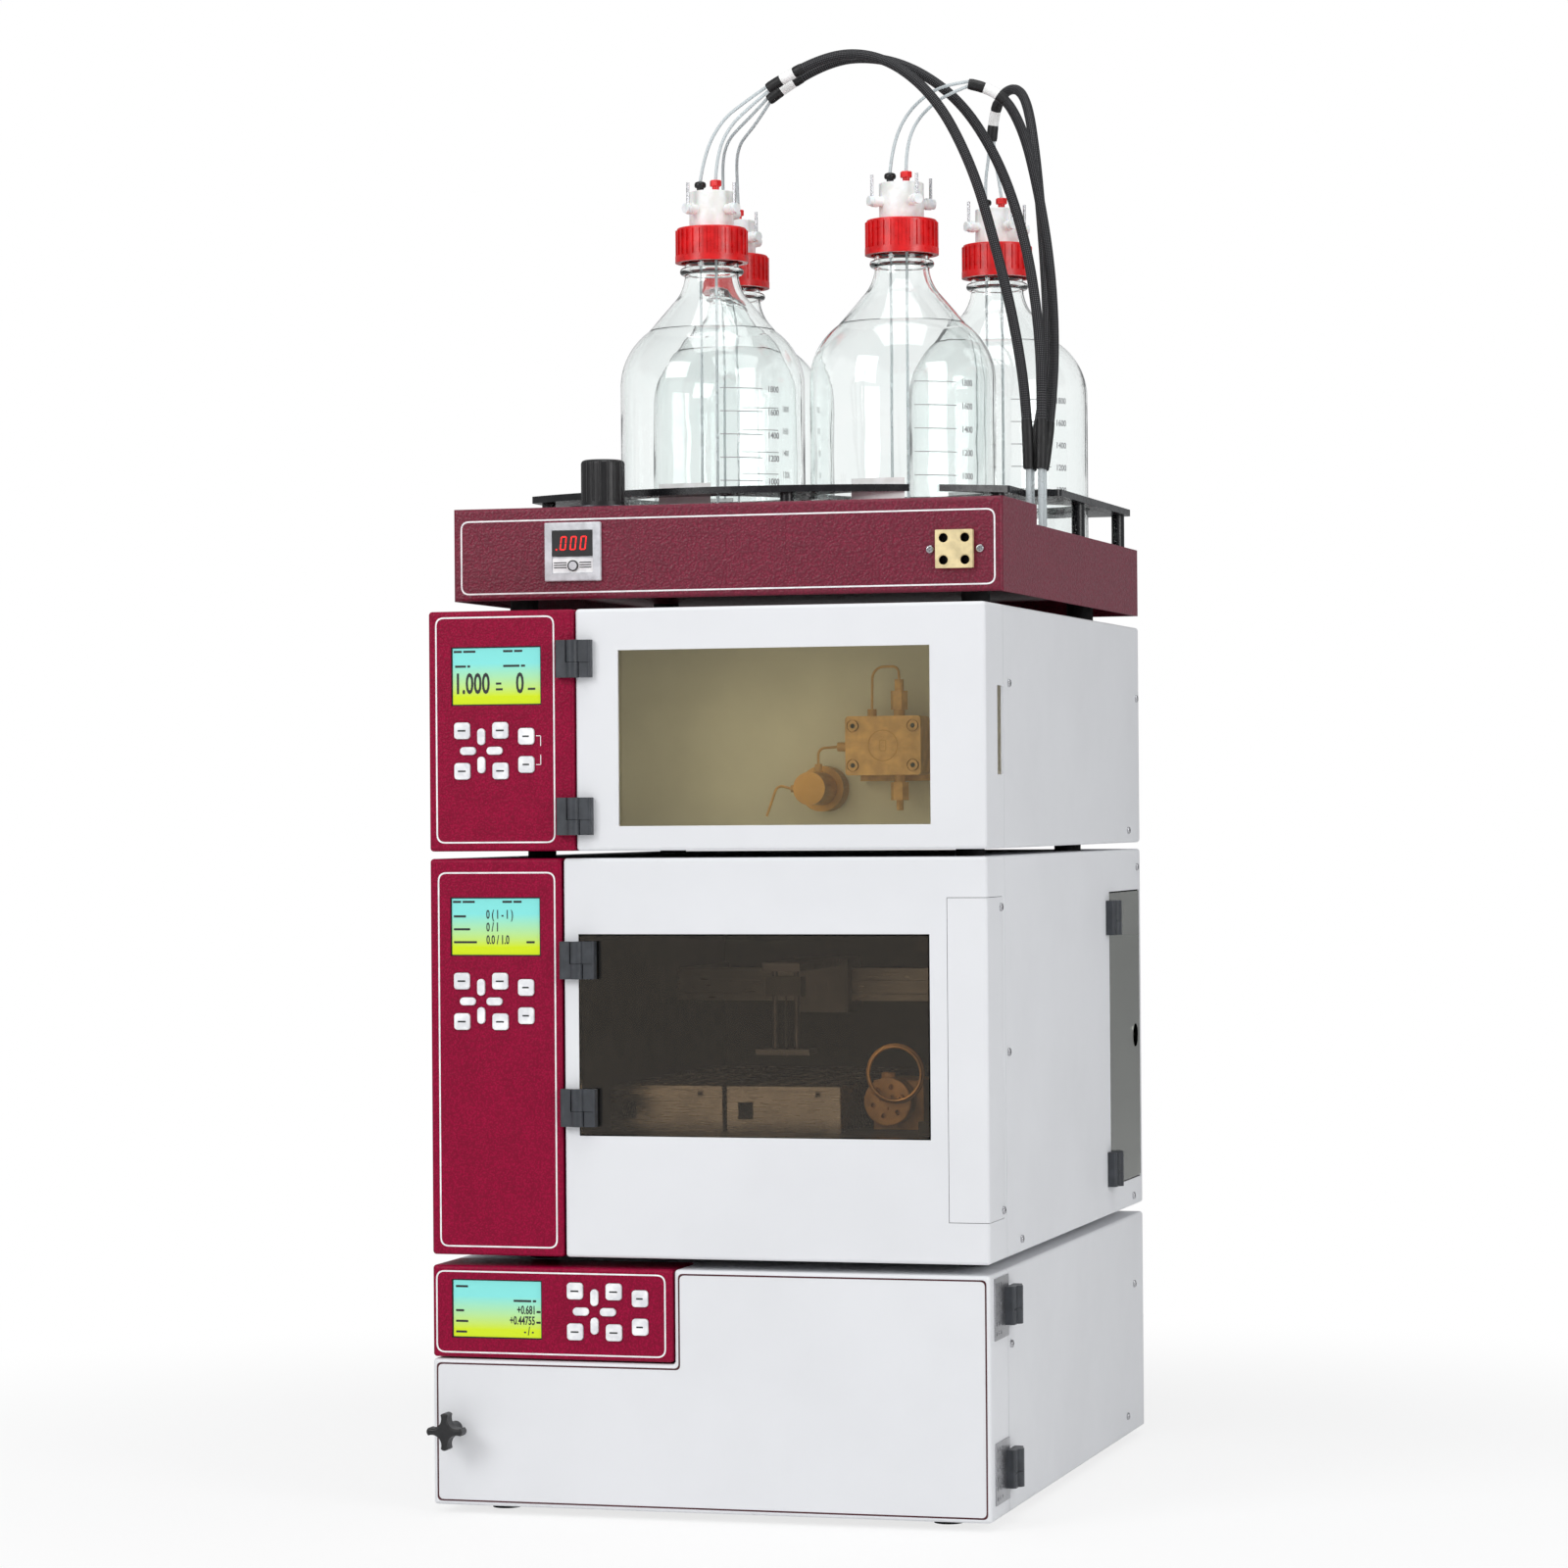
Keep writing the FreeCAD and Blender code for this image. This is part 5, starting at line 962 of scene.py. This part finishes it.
class CHROMATOGRAPH_OT_outlines(bpy.types.Operator):
    """Paint the outlines on the panels, the organiser and the detector module's door"""

    bl_idname = "chromatograph.outlines"
    bl_label = "Outlines"

    def execute(self, context):
        width = look().line_width / MM
        sheets = (
            ("pump_outline", (5.3, 93.0, PUMP_Z + 5.6, PUMP_Z + 163.5), 0.0),
            ("sampler_outline", (6.0, 92.5, SAMPLER_Z + 5.6, SAMPLER_Z + 266.7), 0.0),
            ("base_outline", (2.6, 170.5, BASE_TOP - 61.0, BASE_TOP - 3.6), 0.0),
            ("organiser_outline", (5.5, 395.0, ORGANISER_Z + 4.5, ORGANISER_Z + 57.0), ORGANISER_FRONT),
        )
        bend = 6.5
        for name, (x0, x1, z0, z1), y in sheets:
            outer = rounded(block(x0, x1, z0, z1), bend)
            inner = rounded(block(x0 + width, x1 - width, z0 + width, z1 - width), bend - width)
            shape = bmesh.new()
            add_ring(shape, outer, inner, on_front(y - 0.12, y + 0.05))
            piece(name, shape, "white_print")
        self.door_line(width)
        self.purge_bracket()
        return {"FINISHED"}

    def door_line(self, width):
        """An outline that follows the step at the lower door's upper left corner."""
        edge = 2.7
        step_x = 176.7
        step_z = BASE_TOP - 65.2
        loops = []
        for inset in (edge, edge + width):
            right = WIDTH - inset
            step = step_x + inset
            top = BASE_TOP - inset
            corners = [
                (inset, BASE_Z + inset), (right, BASE_Z + inset), (right, top),
                (step, top), (step, step_z - inset), (inset, step_z - inset),
            ]
            loops.append(rounded(corners, 3.6))
        shape = bmesh.new()
        add_ring(shape, *loops, on_front(-0.12, 0.05))
        piece("door_outline", shape, "maroon_print", body="base_door")

    def purge_bracket(self):
        """The thin bracket that ties the pump's two right keys together."""
        shape = bmesh.new()
        x, z = KEY_MATS["pump"]
        x += SIDE_KEY_X
        for z0 in (z - 10.2, z + 9.8):
            add_plate(shape, block(x + 7.0, x + 10.5, z0, z0 + 0.5), on_front(-0.1, 0.05))
        for z0, z1 in ((z - 10.2, z - 3.0), (z + 3.0, z + 10.3)):
            add_plate(shape, block(x + 10.1, x + 10.6, z0, z1), on_front(-0.1, 0.05))
        piece("key_bracket", shape, "white_print")


class CHROMATOGRAPH_OT_displays(bpy.types.Operator):
    """Make the lit displays with their plain figures"""

    bl_idname = "chromatograph.displays"
    bl_label = "Displays"

    def execute(self, context):
        for name, centre in DISPLAYS.items():
            self.screen(name, *centre)
        for name, (rows, bars) in SHOWN.items():
            self.figures(name, rows, bars)
        dress("inlet", "displays")
        return {"FINISHED"}

    def screen(self, name, x, z):
        """A crystal sheet in the panel's opening, with a dark edge."""
        half_w = 33.0
        half_h = 20.3
        self.crystal("display_" + name, at(x, 0.0, z - half_h).z, at(x, 0.0, z + half_h).z)
        sheet = bmesh.new()
        add_plate(sheet, rounded(centred(x, z, half_w, half_h), 0.6, 3), on_front(1.3, 2.0))
        piece("screen_" + name, sheet, "display_" + name)
        edge = bmesh.new()
        outer = rounded(centred(x, z, half_w + 0.2, half_h + 0.2), 0.7, 3)
        inner = rounded(centred(x, z, half_w - 0.7, half_h - 0.7), 0.5, 3)
        add_ring(edge, outer, inner, on_front(0.9, 1.9))
        piece("screen_frame_" + name, edge, "inlet")

    def crystal(self, name, low, high):
        """A lit colour that runs from the sheet's lower edge to its upper one."""
        top = tuple(look().display_top)
        finish = Finish(name, top, 0.25)
        tall = high - low
        height = finish.spread(finish.split(finish.place)[2], low + tall * 0.15, low + tall * 0.72)
        shade = finish.mixed(height, tuple(look().display_bottom), top)
        finish.link(shade, finish.surface.inputs["Base Color"])
        finish.link(shade, finish.surface.inputs["Emission Color"])
        finish.surface.inputs["Emission Strength"].default_value = 0.35
        finish.relief(finish.noise(2600.0, 1.0), 0.00003, 0.3)
        FINISHES[name] = finish

    def bars(self, shape, x, z, widths):
        """A row of short bars in place of words."""
        for width in widths:
            add_plate(shape, rounded(block(x, x + width, z, z + 1.5), 0.3, 2), on_front(1.18, 1.35))
            x += width + 1.1

    def figures(self, name, rows, bars):
        """The figures and bars of one display, from places round its centre."""
        shape = bmesh.new()
        x, z = DISPLAYS[name]
        for words, height, dx, dz in rows:
            add_text(shape, words, height, x + dx, 1.2, z + dz, squeeze=look().figure_width)
        for dx, dz, widths in bars:
            self.bars(shape, x + dx, z + dz, widths)
        piece("figures_" + name, shape, "dark_print", smooth=0)


class CHROMATOGRAPH_OT_keys(bpy.types.Operator):
    """Finish the key mats and print a short mark on each square key"""

    bl_idname = "chromatograph.keys"
    bl_label = "Keys"

    def execute(self, context):
        dress("key", "keypads")
        shape = bmesh.new()
        for x, z in KEY_MATS.values():
            spots = [(sx * KEY_STEP, sz * KEY_STEP, 2.9) for sx in (-1, 1) for sz in (-1, 1)]
            spots += [(SIDE_KEY_X, sz * SIDE_KEY_STEP, 2.4) for sz in (-1, 1)]
            for dx, dz, half in spots:
                mark = rounded(centred(x + dx, z + dz, half, 0.55), 0.3, 2)
                add_plate(shape, mark, on_front(-1.88, -1.7))
        piece("key_marks", shape, "dark_print")
        return {"FINISHED"}


class CHROMATOGRAPH_OT_pump(bpy.types.Operator):
    """Finish the pump's head, lines and damper"""

    bl_idname = "chromatograph.pump"
    bl_label = "Pump"

    def execute(self, context):
        dress("peek", "pump_head", "pump_lines")
        dress("damper", "pulse_damper")
        self.head_screws()
        self.head_marks()
        self.finger_recess()
        return {"FINISHED"}

    def head_screws(self):
        """Bright rings round dark discs of painted shade in the screws' sockets, just inside the head's
        front.
        """
        rings = bmesh.new()
        sockets = bmesh.new()
        for x, z in HEAD_SCREWS:
            socket = circle(x, z, 1.75)
            add_ring(rings, circle(x, z, 3.5), socket, on_front(HEAD_FRONT + 0.05, HEAD_FRONT + 0.45))
            # Painted shade: a dark disc fills each screw's hex socket, where the hollow lies in shade.
            add_plate(sockets, socket, on_front(HEAD_FRONT + 0.15, HEAD_FRONT + 0.4))
        piece("head_screws", rings, "screw")
        piece("head_screw_painted_shade", sockets, "inlet")

    def head_marks(self):
        """A thin circle on the head with an upright rounded outline inside it."""
        marks = bmesh.new()
        outer = circle(*HEAD_CENTRE, 11.0)
        inner = circle(*HEAD_CENTRE, 10.3)
        add_ring(marks, outer, inner, on_front(HEAD_FRONT, HEAD_FRONT + 0.4))
        outer = rounded(centred(*HEAD_CENTRE, 2.4, 3.9), 1.4, 4)
        inner = rounded(centred(*HEAD_CENTRE, 1.9, 3.4), 1.0, 4)
        add_ring(marks, outer, inner, on_front(HEAD_FRONT, HEAD_FRONT + 0.5))
        piece("head_marks", marks, "damper")

    def finger_recess(self):
        """The white back of the slot that a fingertip pulls the door by."""
        shape = bmesh.new()

        def on_side(u, v, depth):
            return at(394.6 if depth else 395.4, u, v)

        add_plate(shape, rounded(block(31.0, 51.4, PUMP_Z + 47.0, PUMP_Z + 115.0), 2.0, 4), on_side)
        piece("finger_recess", shape, "case", body="pump_door")


class CHROMATOGRAPH_OT_sampler(bpy.types.Operator):
    """Finish the sampler's racks, gantry, valve and loop"""

    bl_idname = "chromatograph.sampler"
    bl_label = "Sampler"

    def execute(self, context):
        dress("rack_steel", "vial_rack_left", "vial_rack_right")
        dress("gantry", "gantry_rail")
        dress("dark_metal", "needle_carriage")
        dress("knob", "needle_holder")
        dress("peek", "injection_valve")
        dress("damper", "sample_loop")
        return {"FINISHED"}


class CHROMATOGRAPH_OT_detector(bpy.types.Operator):
    """Finish the oven, column and detector cell behind the lower door"""

    bl_idname = "chromatograph.detector"
    bl_label = "Detector"

    def execute(self, context):
        dress("aluminium", "column_oven", "detector_cell")
        dress("peek", "separation_column")
        return {"FINISHED"}


class CHROMATOGRAPH_OT_bottles(bpy.types.Operator):
    """Finish the bottles, caps and heads, print the scales and make the tube nuts"""

    bl_idname = "chromatograph.bottles"
    bl_label = "Bottles"

    def execute(self, context):
        for name in BOTTLES:
            dress("glass", "bottle_" + name)
            dress("cap", "cap_" + name)
            self.scale_marks(name)
        dress("head", "bottle_heads")
        dress("screw", "stopcock_pins")
        self.tube_nuts()
        return {"FINISHED"}

    def scale_marks(self, name):
        """A level line and a figure each two hundred millilitres, and a plain field to write on."""
        centre = BOTTLES[name]
        half = look().mark_width / MM / 2
        shape = bmesh.new()
        for i in range(8):
            z = SCALE_Z + i * SCALE_STEP
            self.wrap(shape, centre, z - half, z + half, *LINE_ANGLES)
            self.wrapped_text(shape, centre, str(400 + i * 200), z - 2.3)
        piece("bottle_scale_" + name, shape, "enamel", smooth=0)
        field = bmesh.new()
        self.wrap(field, centre, 45.0, 73.0, *FIELD_ANGLES, 14)
        piece("marking_field_" + name, field, "band")

    def wrapped_text(self, shape, centre, words, z):
        """Figures bent round the glass."""
        flat = bmesh.new()
        add_text(flat, words, 6.4, 0.0, 0.0, z, squeeze=0.85)
        origin = at(0.0, 0.0, 0.0)
        foot = at(*centre, BOTTLE_FLOOR_Z)
        for vertex in flat.verts:
            offset = vertex.co - origin
            angle = math.radians(FIGURE_ANGLE) + offset.x / MM / BOTTLE_RADIUS
            radius = (BOTTLE_RADIUS + 0.08 - offset.y / MM) * MM
            vertex.co = foot + Vector((radius * math.cos(angle), radius * math.sin(angle), offset.z))
        mesh = bpy.data.meshes.new("flat")
        flat.to_mesh(mesh)
        flat.free()
        shape.from_mesh(mesh)
        bpy.data.meshes.remove(mesh)

    def wrap(self, shape, centre, z0, z1, start, end, steps=8):
        """A thin plate on the glass, from one angle round it to another, in degrees."""
        rows = []
        for k in range(steps + 1):
            a = math.radians(start + (end - start) * k / steps)
            row = []
            for lift, z in ((0.12, z0), (0.12, z1), (0.01, z1), (0.01, z0)):
                r = BOTTLE_RADIUS + lift
                spot = at(centre[0] + r * math.cos(a), centre[1] + r * math.sin(a), BOTTLE_FLOOR_Z + z)
                row.append(shape.verts.new(spot))
            rows.append(row)
        add_skin(shape, rows)

    def tube_nuts(self):
        """A round black nut and a six-sided red one on each head, with a narrow neck below."""
        neck = [(2.3, 0.0), (2.6, 0.3), (2.6, 3.2)]
        round_top = [(3.6, 3.4), (4.3, 4.4), (4.3, 6.2), (3.6, 7.4), (2.0, NUT_HEIGHT), (1.4, NUT_HEIGHT)]
        hex_top = [(4.0, 3.2), (4.4, 3.6), (4.4, 7.2), (3.9, 7.8), (2.0, NUT_HEIGHT), (1.4, NUT_HEIGHT)]
        kinds = (("black_nut", round_top, 32), ("red_nut", hex_top, 6))
        for angle, (finish, top, sides) in zip(NUT_ANGLES, kinds):
            shape = bmesh.new()
            a = math.radians(angle)
            for x, y in BOTTLES.values():
                centre = (x + NUT_RING * math.cos(a), y + NUT_RING * math.sin(a), HEAD_TOP)
                turned(shape, centre, neck, 24)
                turned(shape, centre, top, sides)
            made = piece(finish + "s", shape, finish)
            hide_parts("tube_nuts")


class CHROMATOGRAPH_OT_organiser(bpy.types.Operator):
    """Finish the tray, rack, regulator and manifold and make the gauge's face"""

    bl_idname = "chromatograph.organiser"
    bl_label = "Organiser"

    def execute(self, context):
        dress("organiser", "organiser_tray")
        dress("rack", "rack_plate", "rack_posts")
        dress("dark_metal", "regulator_body")
        dress("knob", "regulator_knob")
        dress("bezel", "pressure_gauge")
        self.manifold()
        self.gauge()
        return {"FINISHED"}

    def manifold(self):
        """Beige outside, with painted shade in the ports below their mouths."""
        finish = moulding("manifold_block", paint(214, 196, 150), 0.42)
        inside = finish.within((340.0, ORGANISER_FRONT - 2.6, ORGANISER_Z), (395.0, 90.0, ORGANISER_TOP))
        painted_port_shade_box = finish.within((354.5, 40.0, ORGANISER_Z + 17.2), (378.5, 90.0, ORGANISER_Z + 41.6))
        # Painted shade: the bores of the ports are coloured dark brown below their mouths, where the block
        # shades them.
        finish.cover(finish.number("MULTIPLY", inside, painted_port_shade_box), paint(34, 26, 20))
        FINISHES["manifold"] = finish
        dress("manifold", "manifold_block")

    def gauge(self):
        """The dark face with three red figures, over a pale strip with lines and a round button."""
        x = 89.8
        z = ORGANISER_Z + 33.6
        y = ORGANISER_FRONT - 3.0
        left = x - 15.0
        right = x + 15.0
        dark = bmesh.new()
        face = rounded(block(left, right, z - 3.2, z + 14.9), 0.8, 3)
        add_plate(dark, face, on_front(y + 0.5, y + 1.4))
        for dz in (-11.4, -9.7, -8.0):
            for start, end in ((-13.8, -4.6), (5.2, 13.8)):
                line = block(x + start, x + end, z + dz, z + dz + 0.7)
                add_plate(dark, line, on_front(y + 0.72, y + 1.3))
        outer = circle(x + 0.4, z - 9.9, 3.9, 28)
        inner = circle(x + 0.4, z - 9.9, 3.0, 28)
        add_ring(dark, outer, inner, on_front(y - 0.25, y + 1.3))
        piece("gauge_face", dark, "inlet")
        pale = bmesh.new()
        strip = rounded(block(left, right, z - 14.9, z - 4.6), 0.8, 3)
        add_plate(pale, strip, on_front(y + 0.9, y + 1.4))
        piece("gauge_strip", pale, "white_print")
        self.gauge_figures(x, y + 0.25, z + 1.0)

    def gauge_figures(self, x, y, z):
        """Three lit red figures with a point."""
        red = Finish("red_figures", paint(230, 20, 24), 0.3)
        red.tint(paint(255, 60, 50), 600.0)
        red.surface.inputs["Emission Color"].default_value = (*paint(235, 24, 26), 1.0)
        red.surface.inputs["Emission Strength"].default_value = 0.7
        FINISHES["red_figures"] = red
        figures = bmesh.new()
        for i in range(3):
            self.zero(figures, x - 9.6 + i * 7.4, z, y)
        add_plate(figures, block(x - 12.4, x - 11.2, z, z + 1.2), on_front(y, y + 0.35))
        piece("gauge_figures", figures, "red_figures")

    def zero(self, shape, x, z, y):
        """A figure of six slanted bars."""
        tall = 5.0
        wide = 4.6
        thick = 1.0
        lean = 0.12

        def slanted(u, v, depth):
            return at(x + u + v * lean, y + (0.35 if depth else 0.0), z + v)

        for v in (0.0, 2 * tall - thick):
            add_plate(shape, block(thick * 0.8, wide - thick * 0.8, v, v + thick), slanted)
        for u in (0.0, wide - thick):
            for v in (0.5, tall + 0.2):
                add_plate(shape, block(u, u + thick, v, v + tall - 0.7), slanted)


class CHROMATOGRAPH_PT_panel(bpy.types.Panel):
    bl_label = "Ion Chromatograph"
    bl_idname = "CHROMATOGRAPH_PT_panel"
    bl_space_type = "VIEW_3D"
    bl_region_type = "UI"
    bl_category = "Chromatograph"

    def draw(self, context):
        layout = self.layout
        column = layout.column()
        for name in ChromatographSettings.__annotations__:
            column.prop(context.scene.chromatograph, name)
        for step in STEPS:
            layout.operator(step.bl_idname)


STEPS = (
    CHROMATOGRAPH_OT_stage,
    CHROMATOGRAPH_OT_hoses,
    CHROMATOGRAPH_OT_clear_tubes,
    CHROMATOGRAPH_OT_cabinets,
    CHROMATOGRAPH_OT_outlines,
    CHROMATOGRAPH_OT_displays,
    CHROMATOGRAPH_OT_keys,
    CHROMATOGRAPH_OT_pump,
    CHROMATOGRAPH_OT_sampler,
    CHROMATOGRAPH_OT_detector,
    CHROMATOGRAPH_OT_bottles,
    CHROMATOGRAPH_OT_organiser,
)


def register():
    bpy.utils.register_class(ChromatographSettings)
    for step in STEPS:
        bpy.utils.register_class(step)
    bpy.utils.register_class(CHROMATOGRAPH_PT_panel)
    bpy.types.Scene.chromatograph = PointerProperty(type=ChromatographSettings)


def unregister():
    del bpy.types.Scene.chromatograph
    bpy.utils.unregister_class(CHROMATOGRAPH_PT_panel)
    for step in reversed(STEPS):
        bpy.utils.unregister_class(step)
    bpy.utils.unregister_class(ChromatographSettings)


def main():
    register()
    bpy.ops.chromatograph.stage()
    bpy.ops.chromatograph.hoses()
    bpy.ops.chromatograph.clear_tubes()
    bpy.ops.chromatograph.cabinets()
    bpy.ops.chromatograph.outlines()
    bpy.ops.chromatograph.displays()
    bpy.ops.chromatograph.keys()
    bpy.ops.chromatograph.pump()
    bpy.ops.chromatograph.sampler()
    bpy.ops.chromatograph.detector()
    bpy.ops.chromatograph.bottles()
    bpy.ops.chromatograph.organiser()


if __name__ == "__main__":
    main()
